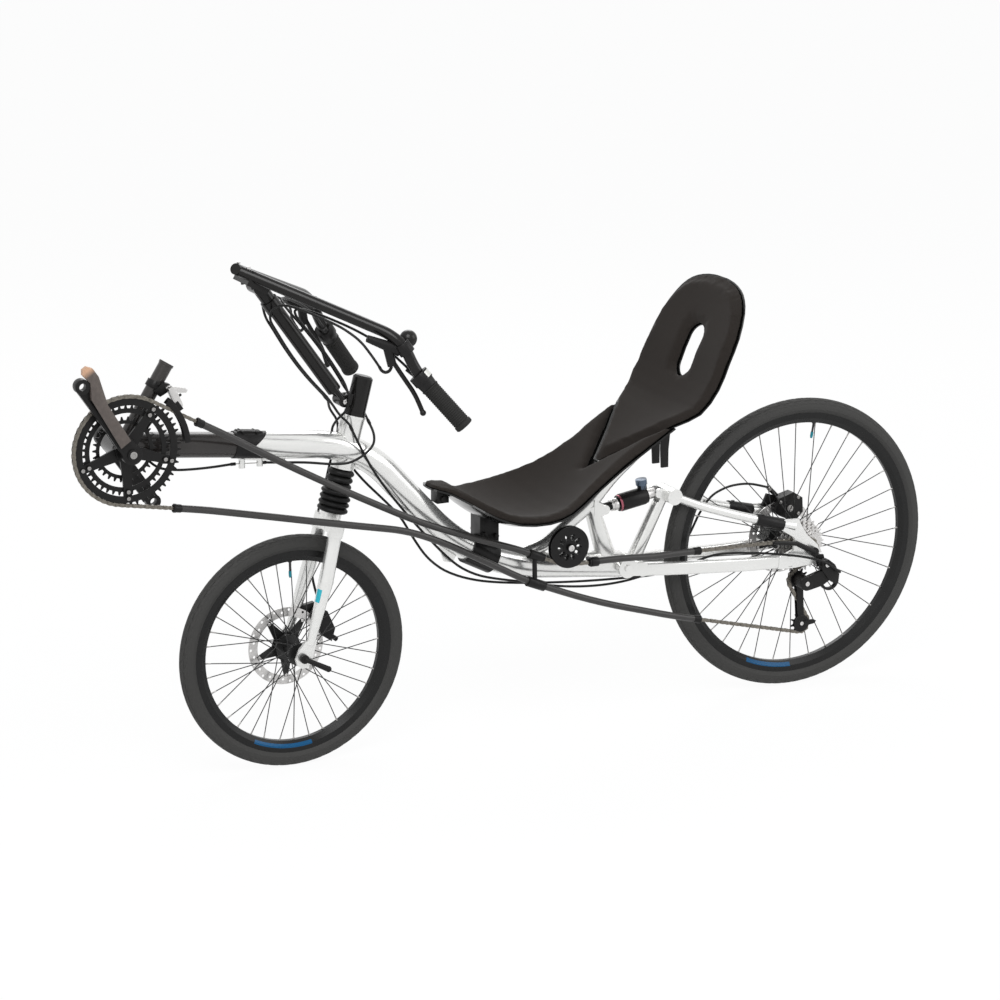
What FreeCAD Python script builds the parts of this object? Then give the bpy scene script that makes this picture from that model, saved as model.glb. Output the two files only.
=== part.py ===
"""Short-wheelbase recumbent bicycle with a swinging rear arm, as a FreeCAD document.

Millimetres and degrees. X runs back along the bicycle, Y away from the chain side, Z up.
The sub-parts are drawn from stations behind the front axle and above the ground, and each
one's Placement then carries it to the document's origin, which is the rider's mount on the
seat: the origin lies on the seat pad under the rider's hips.
"""
import FreeCAD, Part
import Sketcher
import math
import os
from FreeCAD import Placement, Rotation, Vector

doc = FreeCAD.newDocument("recumbent_bicycle")

# ---------------------------------------------------------------- driving dimensions
DIMENSIONS = (
    # alias, value, what it is
    ("seat_datum_x", 500, "rider's mount behind the front axle"),
    ("seat_datum_z", 467, "rider's mount above the ground"),
    ("wheelbase", 1159, "front axle to rear axle"),
    ("front_axle_z", 238, "front axle height, the tyre's radius"),
    ("rear_axle_z", 314.5, "rear axle height, the tyre's radius"),
    ("front_bead", 203, "front bead seat radius, 406 mm size"),
    ("rear_bead", 279.5, "rear bead seat radius, 559 mm size"),
    ("tyre_width", 35, "width of both tyres"),
    ("rim_width", 24, "width of both rims"),
    ("rim_depth", 17, "rim depth inside the bead seat"),
    ("spoke_dia", 2, "spoke diameter"),
    ("front_hub_width", 100, "front dropout spacing"),
    ("rear_hub_width", 135, "rear dropout spacing"),
    ("axle_dia", 10, "wheel axle diameter"),
    ("rotor_dia", 160, "brake rotor diameter"),
    ("rotor_thick", 2, "brake rotor thickness"),
    ("main_dia", 55, "main tube diameter"),
    ("boom_dia", 50, "boom diameter"),
    ("head_dia", 44, "head tube diameter"),
    ("head_angle", 75, "steering axis from the horizontal"),
    ("head_top_x", 140, "head tube's top behind the front axle"),
    ("head_top_z", 704, "head tube's top above the ground"),
    ("head_long", 108, "head tube length"),
    ("steerer_dia", 25, "steerer diameter"),
    ("crank_x", -350, "crank axis behind the front axle"),
    ("crank_z", 698, "crank axis above the ground"),
    ("crank_long", 170, "crank arm length"),
    ("shell_dia", 40, "crank bearing shell diameter"),
    ("spindle_dia", 24, "crank spindle diameter"),
    ("chain_pitch", 12.7, "chain pitch"),
    ("ring_teeth", 52, "teeth on the large chainring"),
    ("ring_y", -50, "large chainring's plane"),
    ("ring_step", 6.5, "from one chainring to the next"),
    ("cog_step", 4.7, "from one sprocket to the next"),
    ("idler_x", 587, "idler axis behind the front axle"),
    ("idler_z", 392, "idler axis above the ground"),
    ("chain_y", -58, "chain's plane at the idler and the sprockets"),
    ("idler_teeth", 19, "teeth on the idler"),
    ("sprocket_teeth", 11, "teeth on the sprocket that the chain is on"),
    ("tube_dia", 14, "chain tube diameter"),
    ("tube_bore", 11, "chain tube bore"),
    ("arch_dia", 27, "seat arch tube diameter"),
    ("stay_dia", 19, "upper stay diameter"),
    ("bar_dia", 22, "handlebar diameter"),
    ("grip_dia", 33, "grip diameter"),
    ("mast_dia", 29, "handlebar mast diameter"),
    ("hose_dia", 5, "brake hose and cable housing diameter"),
    ("pad_thick", 12, "seat pad thickness"),
    ("shell_thick", 3.5, "seat shell thickness"),
)
sheet = doc.addObject("Spreadsheet::Sheet", "Dims")
for row, (alias, value, words) in enumerate(DIMENSIONS, 1):
    sheet.set(f"A{row}", words)
    sheet.set(f"B{row}", str(value))
    sheet.setAlias(f"B{row}", alias)
doc.recompute()


def dim(alias):
    """A driving dimension's value."""
    return float(getattr(sheet, alias))


# ---------------------------------------------------------------- ways of making pieces
SUB_PARTS = []
UP = Vector(0, 0, 1)
ACROSS = Vector(0, 1, 0)
STRAIGHT = 1e-3


def set_size(obj, prop, size):
    """Bind a size to the sheet when it is an expression, or set it when it is a number."""
    if isinstance(size, str):
        obj.setExpression(prop, size)
    else:
        setattr(obj, prop, size)


def cylinder(radius, start, end):
    """A rod between two points."""
    start, end = Vector(*start), Vector(*end)
    rod = doc.addObject("Part::Cylinder", "rod")
    set_size(rod, "Radius", radius)
    rod.Height = (end - start).Length
    rod.Placement = Placement(start, Rotation(UP, end - start))
    return rod


def cone(radius_start, radius_end, start, end):
    """A tapered rod between two points."""
    start, end = Vector(*start), Vector(*end)
    rod = doc.addObject("Part::Cone", "taper")
    set_size(rod, "Radius1", radius_start)
    set_size(rod, "Radius2", radius_end)
    rod.Height = (end - start).Length
    rod.Placement = Placement(start, Rotation(UP, end - start))
    return rod


def box(low, high, turn=0, about=None):
    """A block between two corners, turned about a line along Y through one point."""
    low, high = Vector(*low), Vector(*high)
    block = doc.addObject("Part::Box", "block")
    block.Length, block.Width, block.Height = high - low
    spot = Placement(low, Rotation())
    if about:
        centre = Vector(*about)
        spin = Rotation(ACROSS, turn)
        spot = Placement(centre, Rotation()) * Placement(Vector(), spin) * Placement(low - centre, Rotation())
    block.Placement = spot
    return block


def ball(radius, centre):
    """A ball."""
    sphere = doc.addObject("Part::Sphere", "ball")
    set_size(sphere, "Radius", radius)
    sphere.Placement.Base = Vector(*centre)
    return sphere


def fuse(pieces):
    """Pieces welded into one."""
    joined = doc.addObject("Part::MultiFuse", "welded")
    joined.Shapes = pieces
    joined.Refine = False
    return joined


def cut(base, tools):
    """A piece less its holes."""
    tool = tools[0] if len(tools) == 1 else fuse(tools)
    result = doc.addObject("Part::Cut", "bored")
    result.Base, result.Tool = base, tool
    return result


def solid(shape, name):
    """A free-form piece made with Part's own functions."""
    feature = doc.addObject("Part::Feature", name)
    feature.Shape = shape
    return feature


def sub_part(obj, name, station_x="0", station_z="0"):
    """Name a finished piece and carry it from its station to the document's origin."""
    obj.Label = name
    obj.setExpression("Placement.Base.x", station_x + " - Dims.seat_datum_x")
    obj.setExpression("Placement.Base.z", station_z + " - Dims.seat_datum_z")
    SUB_PARTS.append(obj)
    return obj


def compound(pieces):
    """Like pieces that share a sub-part and don't touch."""
    group = doc.addObject("Part::Compound", "group")
    group.Links = pieces
    return group


def corner_arc(before, corner, after):
    """How far a route's arc reaches from its corner, the arc's radius and its turn."""
    inward, onward = Vector(*corner) - Vector(*before), Vector(*after) - Vector(*corner)
    turn = inward.getAngle(onward)
    reach = 0.45 * min(inward.Length, onward.Length)
    return reach, reach / math.tan(turn / 2) if turn > STRAIGHT else math.inf, turn


def route(points):
    """A wire of straight runs joined by tangent arcs as large as the runs allow."""
    points = [Vector(*p) for p in points]
    edges, here = [], points[0]
    for before, corner, after in zip(points, points[1:], points[2:]):
        reach, radius, turn = corner_arc(before, corner, after)
        if turn <= STRAIGHT:
            continue
        inward, onward = corner - before, after - corner
        inward.normalize()
        onward.normalize()
        start, end = corner - inward * reach, corner + onward * reach
        middle = corner + (onward - inward).normalize() * (radius / math.cos(turn / 2) - radius)
        edges.append(Part.LineSegment(here, start).toShape())
        edges.append(Part.Arc(start, middle, end).toShape())
        here = end
    edges.append(Part.LineSegment(here, points[-1]).toShape())
    return Part.Wire(edges)


def tube(points, diameter, bore=0):
    """A tube, or a cable with no bore, swept along a route."""
    path = route(points)
    start = Vector(*points[0])
    along = Vector(*points[1]) - start

    def swept(radius):
        ring = Part.Wire(Part.makeCircle(radius, start, along))
        return path.makePipeShell([ring], True, False)

    skin = swept(diameter / 2)
    return skin.cut(swept(bore / 2)) if bore else skin


def beam(points, width, height):
    """A rounded rectangular tube swept along a route, its width across the bicycle."""
    path = route(points)
    start = Vector(*points[0])
    along = (Vector(*points[1]) - start).normalize()
    side = UP.cross(along).normalize()
    rise = along.cross(side)
    corner = 0.3 * min(width, height)
    edges, ring = [], []
    for a, b in ((1, 1), (-1, 1), (-1, -1), (1, -1)):
        centre = start + side * (a * (width / 2 - corner)) + rise * (b * (height / 2 - corner))
        first, last = (side * a, rise * b) if a * b > 0 else (rise * b, side * a)
        middle = (first + last).normalize()
        ring.append((centre + first * corner, centre + middle * corner, centre + last * corner))
    for i, (first, middle, last) in enumerate(ring):
        edges.append(Part.Arc(first, middle, last).toShape())
        edges.append(Part.LineSegment(last, ring[(i + 1) % 4][0]).toShape())
    return path.makePipeShell([Part.Wire(edges)], True, False)


def plate(outline, low_y, high_y):
    """A flat plate: an (x, z) outline between two planes across the bicycle."""
    corners = [Vector(x, low_y, z) for x, z in outline]
    return solid(Part.Face(Part.makePolygon(corners + corners[:1])).extrude(ACROSS * (high_y - low_y)), "plate")


def sector(centre, inner, outer, first_deg, last_deg, low_y, high_y):
    """A curved plate: part of a flat ring around a line across the bicycle."""
    def at(radius, degrees):
        angle = math.radians(degrees)
        return Vector(centre[0] + radius * math.cos(angle), low_y, centre[1] + radius * math.sin(angle))

    middle = (first_deg + last_deg) / 2
    edges = [Part.Arc(at(outer, first_deg), at(outer, middle), at(outer, last_deg)).toShape(),
             Part.LineSegment(at(outer, last_deg), at(inner, last_deg)).toShape(),
             Part.Arc(at(inner, last_deg), at(inner, middle), at(inner, first_deg)).toShape(),
             Part.LineSegment(at(inner, first_deg), at(outer, first_deg)).toShape()]
    return solid(Part.Face(Part.Wire(edges)).extrude(ACROSS * (high_y - low_y)), "sector")


def turned(name, profile):
    """A Body that revolves a closed profile about a line along Y.

    Each profile point is (radius, y) as a pair of sheet expressions or numbers.
    """
    body = doc.addObject("PartDesign::Body", name)
    sketch = body.newObject("Sketcher::SketchObject", name + "_profile")
    plane = next(f for f in body.Origin.OriginFeatures if f.Role == "XY_Plane")
    sketch.AttachmentSupport = [(plane, "")]
    sketch.MapMode = "FlatFace"
    draw_polygon(sketch, profile)
    spin = body.newObject("PartDesign::Revolution", name + "_turn")
    spin.Profile = sketch
    spin.ReferenceAxis = (sketch, ["V_Axis"])
    spin.Angle = 360
    body.Tip = spin
    return body


def draw_polygon(sketch, profile):
    """A closed outline whose corners are held by dimensions from the sketch's origin."""
    corners = [(value_of(r), value_of(y)) for r, y in profile]
    count = len(corners)
    for i in range(count):
        a, b = corners[i], corners[(i + 1) % count]
        sketch.addGeometry(Part.LineSegment(Vector(*a, 0), Vector(*b, 0)), False)
    for i in range(count):
        sketch.addConstraint(Sketcher.Constraint("Coincident", i, 2, (i + 1) % count, 1))
    for i, (r, y) in enumerate(profile):
        for kind, size, value in (("DistanceX", r, corners[i][0]), ("DistanceY", y, corners[i][1])):
            index = sketch.addConstraint(Sketcher.Constraint(kind, -1, 1, i, 1, value))
            if isinstance(size, str):
                sketch.setExpression(f"Constraints[{index}]", size)


def value_of(size):
    """The number behind a sheet expression."""
    if not isinstance(size, str):
        return float(size)
    return float(sheet.evalExpression(size.replace("Dims.", "")))


# ---------------------------------------------------------------- steering axis
LEAN = math.radians(dim("head_angle"))
HEAD_TOP = Vector(dim("head_top_x"), 0, dim("head_top_z"))
ALONG_HEAD = Vector(math.cos(LEAN), 0, math.sin(LEAN))
AHEAD = Vector(-math.sin(LEAN), 0, math.cos(LEAN))


def steer(drop, ahead=0, side=0):
    """A point below the head tube's top, ahead of the steering axis, to one side."""
    return HEAD_TOP - ALONG_HEAD * drop + AHEAD * ahead + ACROSS * side


# ---------------------------------------------------------------- main frame
HEAD_LONG = dim("head_long")
MAIN_PATH = ((-48, 0, 665), (150, 0, 643), (400, 0, 362), (735, 0, 322))
main_tube = solid(tube(MAIN_PATH, dim("main_dia")), "main_tube")
first_run = (Vector(*MAIN_PATH[1]) - Vector(*MAIN_PATH[0])).normalize()
front_sleeve = cylinder("Dims.main_dia / 2", Vector(*MAIN_PATH[0]) - first_run * 40, MAIN_PATH[0])
BOOM_FRONT, BOOM_REAR = Vector(-345, 0, 697.5), Vector(30, 0, 656.3)
boom_run = (BOOM_REAR - BOOM_FRONT).normalize()
# The tube's front end is cut to a point on each side, where the boom slides in.
POINT = (-83, 669)
upper_bevel = plate((POINT, (-45, 694), (-45, 720), (-110, 720), (-110, 669)), -40, 40)
lower_bevel = plate((POINT, (-110, 669), (-110, 620), (-22, 620), (-22, 636)), -40, 40)
pointed_tube = cut(fuse([main_tube, front_sleeve]), [upper_bevel, lower_bevel])
head_tube = cylinder("Dims.head_dia / 2", steer(HEAD_LONG), steer(0))
head_rings = [cylinder("Dims.head_dia / 2 + 1.5", steer(drop + 5), steer(drop)) for drop in (0, HEAD_LONG - 5)]
gusset = plate(((92, 632), (112, 604), (128, 598), (205, 575), (190, 610)), -4, 4)
cable_fin = plate(((104, 673), (120, 668), (130, 706), (112, 711)), -3, 3)
stand_plate = plate(((322, 412), (326, 398), (333, 379), (352, 375), (359, 388), (372, 380), (380, 400), (340, 430)), -3, 3)
stop_strap = plate(((-106, 641.4), (-10, 629), (-10, 636), (-106, 645)), -4, 4)
cable_stops = [cylinder(6.5, (x, 0, 643), (x, 0, 624)) for x in (-99, -62)]
pivot_boss = cylinder(19, (735, -34, 322), (735, 34, 322))
steerer_bore = cylinder("Dims.steerer_dia / 2 + 0.2", steer(HEAD_LONG + 20), steer(-20))
boom_socket = cylinder("Dims.boom_dia / 2 + 0.1", BOOM_FRONT + boom_run * 200, BOOM_REAR + boom_run * 10)
pivot_bore = cylinder(8.1, (735, -50, 322), (735, 50, 322))
frame_blank = fuse([pointed_tube, head_tube, gusset, cable_fin, stand_plate, stop_strap, pivot_boss]
                   + head_rings + cable_stops)
sub_part(cut(frame_blank, [steerer_bore, boom_socket, pivot_bore]), "main_frame")

# ---------------------------------------------------------------- boom clamp
# A split collar closes on the boom ahead of the tube's points, with two bolts through its lugs.
collar = cylinder("Dims.main_dia / 2 - 0.6", (-118, 0, 672.7), (-24, 0, 662.3))
LUG = ((-112, 690), (-56, 684), (-56, 691), (-60, 695), (-108, 701), (-112, 697))
lugs = [plate(LUG, y, y + 7) for y in (2, -9)]
lug_bolts = [cylinder(2.6, (x, -13, z), (x, 13, z)) for x, z in ((-100, 698), (-70, 694.6))]
boom_room = cylinder("Dims.boom_dia / 2 + 0.1", BOOM_FRONT + boom_run * 180, BOOM_REAR + boom_run * 10)
tube_wedge = plate((POINT, (-45, 694), (-45, 730), (40, 730), (40, 600), (-22, 600), (-22, 636)), -40, 40)
clamp_room = [boom_room, tube_wedge, stop_strap] + cable_stops
sub_part(cut(fuse([collar] + lugs + lug_bolts), clamp_room), "boom_clamp")

# ---------------------------------------------------------------- seat arch and shock mount
ARCH_PATH = ((515, 0, 372), (565, 0, 385), (612, 0, 419), (668, 0, 458), (716, 0, 511), (780, 0, 560), (829, 0, 607))
SHOCK_FRONT, SHOCK_REAR = Vector(694, 0, 446), Vector(822, 0, 466)
EYE_HALF = 11.2
arch_tube = solid(tube(ARCH_PATH, dim("arch_dia")), "arch_tube")
upright = cone(16, 21, (668, 0, 456), (703, 0, 346))
front_lug = plate(((668, 436), (690, 434), (690, 458), (668, 470)), -17, 17)
front_eye = cylinder(10, SHOCK_FRONT - ACROSS * 17, SHOCK_FRONT + ACROSS * 17)
eye_gap = box((683.5, -EYE_HALF, 432), (720, EYE_HALF, 460))
arch_blank = fuse([arch_tube, upright, front_eye, front_lug])
arch_trim = solid(tube(MAIN_PATH, dim("main_dia") + 0.02), "main_tube_skin")
sub_part(cut(arch_blank, [arch_trim, eye_gap]), "seat_arch")

# ---------------------------------------------------------------- boom and crank shell
CRANK = Vector(dim("crank_x"), 0, dim("crank_z"))
POST_FOOT, POST_TOP = Vector(-338, 0, 705), Vector(-247, 0, 848)
boom_tube = cylinder("Dims.boom_dia / 2", BOOM_FRONT, BOOM_REAR)
crank_shell = cylinder("Dims.shell_dia / 2 + 3", CRANK - ACROSS * 34, CRANK + ACROSS * 34)
shell_bore = cylinder("Dims.spindle_dia / 2 + 0.1", CRANK - ACROSS * 40, CRANK + ACROSS * 40)
post = cylinder(14, POST_FOOT, POST_TOP)
post_cap = cylinder(15, POST_TOP - (POST_TOP - POST_FOOT).normalize() * 5, POST_TOP)
sub_part(cut(fuse([boom_tube, crank_shell, post, post_cap]), [shell_bore]), "boom")

# ---------------------------------------------------------------- swinging arm
AXLE_REAR = Vector(dim("wheelbase"), 0, dim("rear_axle_z"))
DROPOUT_Y = dim("rear_hub_width") / 2
DROPOUT = ((1090, 390), (1124, 388), (1146, 352), (1174, 326), (1180, 300), (1170, 286), (1120, 282), (1078, 284),
           (1080, 310), (1116, 322), (1116, 348), (1088, 366))


def upper_stay(side):
    """The upper stay's route on one side."""
    return ((846, 18 * side, 460), (905, 34 * side, 434), (1010, 57 * side, 400), (1118, 69 * side, 372))


def swing_side(side):
    """One side's chainstay, upper stay and dropout."""
    low = solid(beam(((756, 26 * side, 314), (840, 46 * side, 310), (1020, 60 * side, 299),
                      (1112, 68 * side, 298)), 16, 28), "chainstay")
    high = solid(tube(upper_stay(side), dim("stay_dia")), "upper_stay")
    inner = DROPOUT_Y * side
    return [low, high, plate(DROPOUT, min(inner, inner + 7 * side), max(inner, inner + 7 * side))]


node = cylinder(17, (850, -32, 458), (850, 32, 458))
pivot_tube = cylinder(15, (772, -40, 314), (772, 40, 314))
pivot_ears = [cylinder(21, (735, 34.5 * s, 322), (735, 42 * s, 322)) for s in (-1, 1)]
ear_links = [box((735, min(34.5 * s, 42 * s), 304), (775, max(34.5 * s, 42 * s), 330)) for s in (-1, 1)]
pivot_pin = cylinder(8, (735, -46, 322), (735, 46, 322))
brace = cone(13.5, 15, (834, 0, 454), (766, 0, 322))
rear_eye = cylinder(10, SHOCK_REAR - ACROSS * 17, SHOCK_REAR + ACROSS * 17)
eye_lugs = plate(((822, 456), (850, 446), (850, 470), (822, 476)), -17, 17)
eye_slot = box((800, -EYE_HALF, 446), (833, EYE_HALF, 490))
axle_holes = cylinder("Dims.axle_dia / 2 + 0.1", AXLE_REAR - ACROSS * 90, AXLE_REAR + ACROSS * 90)
arm_blank = fuse(swing_side(-1) + swing_side(1)
                 + [node, pivot_tube, pivot_pin, brace, rear_eye, eye_lugs] + pivot_ears + ear_links)
sub_part(cut(arm_blank, [axle_holes, eye_slot]), "swing_arm")

# Black clamps on the upper stays, ahead of the dropouts.
def stay_clamp(side):
    """A long sleeve bolted round the rear end of one upper stay."""
    last = Vector(*upper_stay(side)[-1])
    run = (last - Vector(*upper_stay(side)[-2])).normalize()
    foot = last - run * 92
    sleeve = cylinder(12.5, foot, foot + run * 64)
    bolt = cylinder(4, foot + run * 14 - UP * 14, foot + run * 14 + UP * 14)
    core = solid(tube(upper_stay(side), dim("stay_dia") + 0.04), "stay_skin")
    inner = DROPOUT_Y * side
    dropout = plate(DROPOUT, min(inner, inner + 7 * side), max(inner, inner + 7 * side))
    return cut(fuse([sleeve, bolt]), [core, dropout])


sub_part(compound([stay_clamp(-1), stay_clamp(1)]), "stay_clamps")

# ---------------------------------------------------------------- shock absorber
shock_line = (SHOCK_REAR - SHOCK_FRONT).normalize()
SHOCK_LONG = (SHOCK_REAR - SHOCK_FRONT).Length


def shock(distance, side=0):
    """A point along the shock from its front eye."""
    return SHOCK_FRONT + shock_line * distance + ACROSS * side


shock_pieces = [cylinder(9, shock(d, -11), shock(d, 11)) for d in (0, SHOCK_LONG)]
# Stations along the shock: from, to, radius.
for start, end, radius in ((5, 22, 9), (20, 27, 12), (26, 36, 13), (35, 62, 9), (38, 44, 17), (43, 98, 18.5),
                           (97, 104, 17), (103, 124, 11)):
    shock_pieces.append(cylinder(radius, shock(start), shock(end)))
knob = shock(99)
shock_pieces.append(cylinder(10, knob - UP * 4, knob + Vector(-5, 0, 25)))
shock_pieces.append(cylinder(12, knob + Vector(-5, 0, 25), knob + Vector(-7, 0, 36)))
sub_part(fuse(shock_pieces), "shock_absorber")

# ---------------------------------------------------------------- rear axle
AXLE_OUT = DROPOUT_Y + 7.1
rear_axle_pieces = [
    cylinder("Dims.axle_dia / 2", AXLE_REAR - ACROSS * 84, AXLE_REAR + ACROSS * 78),
    cylinder(9, AXLE_REAR + ACROSS * AXLE_OUT, AXLE_REAR + ACROSS * 83),
    cylinder(10, AXLE_REAR - ACROSS * 88, AXLE_REAR - ACROSS * AXLE_OUT),
    cone(6, 5, AXLE_REAR - ACROSS * 84, (1112, -90, 340)),
    cone(5, 4, (1112, -90, 340), (1052, -94, 350)),
    ball(5.2, (1112, -90, 340)),
]
sub_part(fuse(rear_axle_pieces), "rear_axle")

# ---------------------------------------------------------------- rear brake caliper
ROTOR_REAR_Y, ROTOR_FRONT_Y = 51.5, 34.5
ROTOR_SLOT = 2.2
rear_caliper_blank = fuse([
    plate(((1136, 372), (1150, 362), (1186, 346), (1206, 366), (1204, 398), (1182, 412), (1144, 402)), 39, 65),
    cylinder(12, (1172, 37, 378), (1172, 70, 378)),
    plate(((1116, 384), (1150, 372), (1164, 398), (1128, 410)), 60, DROPOUT_Y - 0.05),
    cylinder(4, (1128, 60, 398), (1128, DROPOUT_Y - 0.05, 398)),
    cylinder(5, (1146, 52, 406), (1128, 52, 424)),
])
rear_slot = box((1080, ROTOR_REAR_Y - ROTOR_SLOT, 290), (1230, ROTOR_REAR_Y + ROTOR_SLOT, 397))
sub_part(cut(rear_caliper_blank, [rear_slot]), "rear_caliper")

# ---------------------------------------------------------------- fork
crown_pieces = [
    cylinder("Dims.steerer_dia / 2", steer(215), steer(-74)),
    cylinder(21, steer(232), steer(198)),
    cylinder(16, steer(240, side=-38), steer(208, side=-38)),
    cylinder(16, steer(240, side=38), steer(208, side=38)),
]
bridge = box((-15, -38, -12), (15, 38, 12))
bridge.Placement = Placement(steer(222), Rotation(UP, ALONG_HEAD)) * Placement(Vector(-15, -38, -12), Rotation())
fork_crown = fuse(crown_pieces + [bridge])
sub_part(fork_crown, "fork_crown")


def boot(top, bottom, radius, ribs):
    """A ribbed rubber sleeve around the steering axis."""
    pitch = (bottom - top) / ribs
    pieces = [cylinder(radius - 5, steer(bottom), steer(top))]
    for i in range(ribs):
        pieces.append(cone(radius - 4, radius, steer(top + pitch * (i + 0.95)), steer(top + pitch * (i + 0.5))))
        pieces.append(cone(radius, radius - 4, steer(top + pitch * (i + 0.5)), steer(top + pitch * (i + 0.05))))
    bore = cylinder("Dims.steerer_dia / 2 + 0.1", steer(bottom + 5), steer(top - 5))
    return cut(fuse(pieces), [bore])


sub_part(compound([boot(110, 150, 27, 3), boot(150.2, 197.5, 31, 4)]), "fork_boots")

AXLE_FRONT = Vector(0, 0, dim("front_axle_z"))
CROWN_SIDE, TIP_SIDE = 38, 54


def fork_leg(side):
    """One tapering leg with its hooked dropout, hanging from the crown."""
    knee_side = (CROWN_SIDE + TIP_SIDE) / 2 * side
    low, high = sorted((50.2 * side, 57 * side))
    hook = plate(((-16, 236), (-13, 224), (-4, 217), (8, 217), (17, 226), (22, 245), (30, 272), (6, 272), (-8, 256)),
                 low, high)
    return [
        cone(13.5, 15, steer(240.1, side=CROWN_SIDE * side), steer(330, side=knee_side)),
        cone(15, 8, steer(330, side=knee_side), steer(458, 6, TIP_SIDE * side)),
        ball(15.2, steer(330, side=knee_side)),
        hook,
    ]


axle_hole = cylinder("Dims.axle_dia / 2 + 0.1", AXLE_FRONT - ACROSS * 70, AXLE_FRONT + ACROSS * 70)
crown_face = cylinder(60, steer(240), steer(200))
sub_part(compound([cut(fuse(fork_leg(s)), [axle_hole, crown_face]) for s in (-1, 1)]), "fork_legs")

front_axle_pieces = [
    cylinder("Dims.axle_dia / 2", AXLE_FRONT - ACROSS * 60, AXLE_FRONT + ACROSS * 58),
    cylinder(9, AXLE_FRONT - ACROSS * 66, AXLE_FRONT - ACROSS * 57.2),
    cylinder(9, AXLE_FRONT + ACROSS * 57.2, AXLE_FRONT + ACROSS * 66),
    cone(4.5, 6, AXLE_FRONT - ACROSS * 63, AXLE_FRONT + Vector(46, -73, -24)),
    ball(6.2, AXLE_FRONT + Vector(46, -73, -24)),
]
sub_part(fuse(front_axle_pieces), "front_axle")

# ---------------------------------------------------------------- front brake caliper
leg_line = (steer(458, 6, TIP_SIDE) - steer(330, side=(CROWN_SIDE + TIP_SIDE) / 2)).normalize()
front_caliper_blank = fuse([
    plate(((52, 292), (66, 312), (88, 300), (104, 262), (96, 236), (76, 250), (66, 268)), 25.4, 46),
    cylinder(11, (78, 24.8, 282), (78, 52, 282)),
    plate(((30, 312), (66, 318), (72, 300), (44, 290)), 41, 52),
    cylinder(5, (92, 34, 250), (110, 34, 236)),
])
front_slot = box((-90, ROTOR_FRONT_Y - ROTOR_SLOT, 200), (90.5, ROTOR_FRONT_Y + ROTOR_SLOT, 308))
leg_room = [cone(15.02, 8.02, steer(330, side=(CROWN_SIDE + TIP_SIDE) / 2), steer(458, 6, TIP_SIDE)),
            ball(15.22, steer(330, side=(CROWN_SIDE + TIP_SIDE) / 2))]
sub_part(cut(front_caliper_blank, [front_slot] + leg_room), "front_caliper")

# ---------------------------------------------------------------- stem
MAST_PIVOT = Vector(112.5, 0, 737.5)
stem_block = cone(20.5, 20, steer(-3), steer(-76))
stem_cap = cone(20, 16, steer(-76), steer(-80))
stem_base = cylinder(21.5, steer(-0.3), steer(-8))
stem_lug = cylinder(12, MAST_PIVOT - ACROSS * 11, MAST_PIVOT + ACROSS * 11)
lug_neck = plate(((112.5, 727), (146, 727), (146, 749), (112.5, 749)), -11, 11)
stem_bore = cylinder("Dims.steerer_dia / 2 + 0.05", steer(10), steer(-74.5))
lug_bore = cylinder(4.1, MAST_PIVOT - ACROSS * 30, MAST_PIVOT + ACROSS * 30)
sub_part(cut(fuse([stem_block, stem_cap, stem_base, stem_lug, lug_neck]), [stem_bore, lug_bore]), "stem")

# ---------------------------------------------------------------- mast and handlebar
MAST_TOP = Vector(-58, 0, 980)
mast_line = (MAST_TOP - MAST_PIVOT).normalize()
mast_tube = cylinder("Dims.mast_dia / 2", MAST_PIVOT + mast_line * 26, MAST_TOP)
cheeks = [cylinder(12, MAST_PIVOT + ACROSS * 11.4 * s, MAST_PIVOT + ACROSS * 17 * s) for s in (-1, 1)]
links = [cylinder(5.5, MAST_PIVOT + ACROSS * 16 * s, MAST_PIVOT + mast_line * 34 + ACROSS * 10 * s) for s in (-1, 1)]
pivot_bolt = cylinder(4, MAST_PIVOT - ACROSS * 20, MAST_PIVOT + ACROSS * 20)
neck_room = cylinder(12.6, MAST_PIVOT - ACROSS * 11.3, MAST_PIVOT + ACROSS * 11.3)
mast_collar = cylinder("Dims.mast_dia / 2 + 3", MAST_TOP - mast_line * 62, MAST_TOP - mast_line * 36)
mast_clamp = cylinder(17, MAST_TOP - ACROSS * 20, MAST_TOP + ACROSS * 20)
mast_blank = fuse([mast_tube, mast_collar] + cheeks + links)
sub_part(fuse([cut(mast_blank, [neck_room]), pivot_bolt, mast_clamp]), "mast")

GRIP = (Vector(171.4, 225.6, 832.2), Vector(248.3, 267.9, 733.3))
BAR_ARM = ((-98, 14, 1013.5), (20, 106, 958), (123, 203, 909), (147, 221, 887), tuple(GRIP[0]), tuple(GRIP[1]))


def mirrored(points, side):
    """A route on one side or the other of the bicycle."""
    return [(x, y * side, z) for x, y, z in points]


bar_arms = [solid(tube(mirrored(BAR_ARM, s), dim("bar_dia")), "bar_arm") for s in (-1, 1)]
bar_block = box((-90, -36, 978), (-46, 36, 1008), 28, (-68, 0, 994))
bar_bolts = [cylinder(4, (-86, y, 1018), (-78, y, 980)) for y in (-26, 26)]
mast_cap = cylinder(17.05, MAST_TOP - ACROSS * 21, MAST_TOP + ACROSS * 21)
sub_part(cut(fuse(bar_arms + [bar_block] + bar_bolts), [mast_cap]), "handlebar")

grip_run = (GRIP[1] - GRIP[0]).normalize()


def grip_line(distance, side):
    """A point along one grip, from its upper end."""
    point = GRIP[0] + grip_run * distance
    return Vector(point.x, point.y * side, point.z)


def bar_skin(side):
    """The bar's own surface, to seat what slides or clamps onto it."""
    return solid(tube(mirrored(BAR_ARM, side), dim("bar_dia") + 0.04), "bar_skin")


def grip(side):
    """A rubber grip closed at its end."""
    return cut(fuse([cylinder("Dims.grip_dia / 2", grip_line(36, side), grip_line(136, side)),
                     cylinder("Dims.grip_dia / 2 + 1.5", grip_line(128, side), grip_line(138, side))]),
               [bar_skin(side)])


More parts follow.
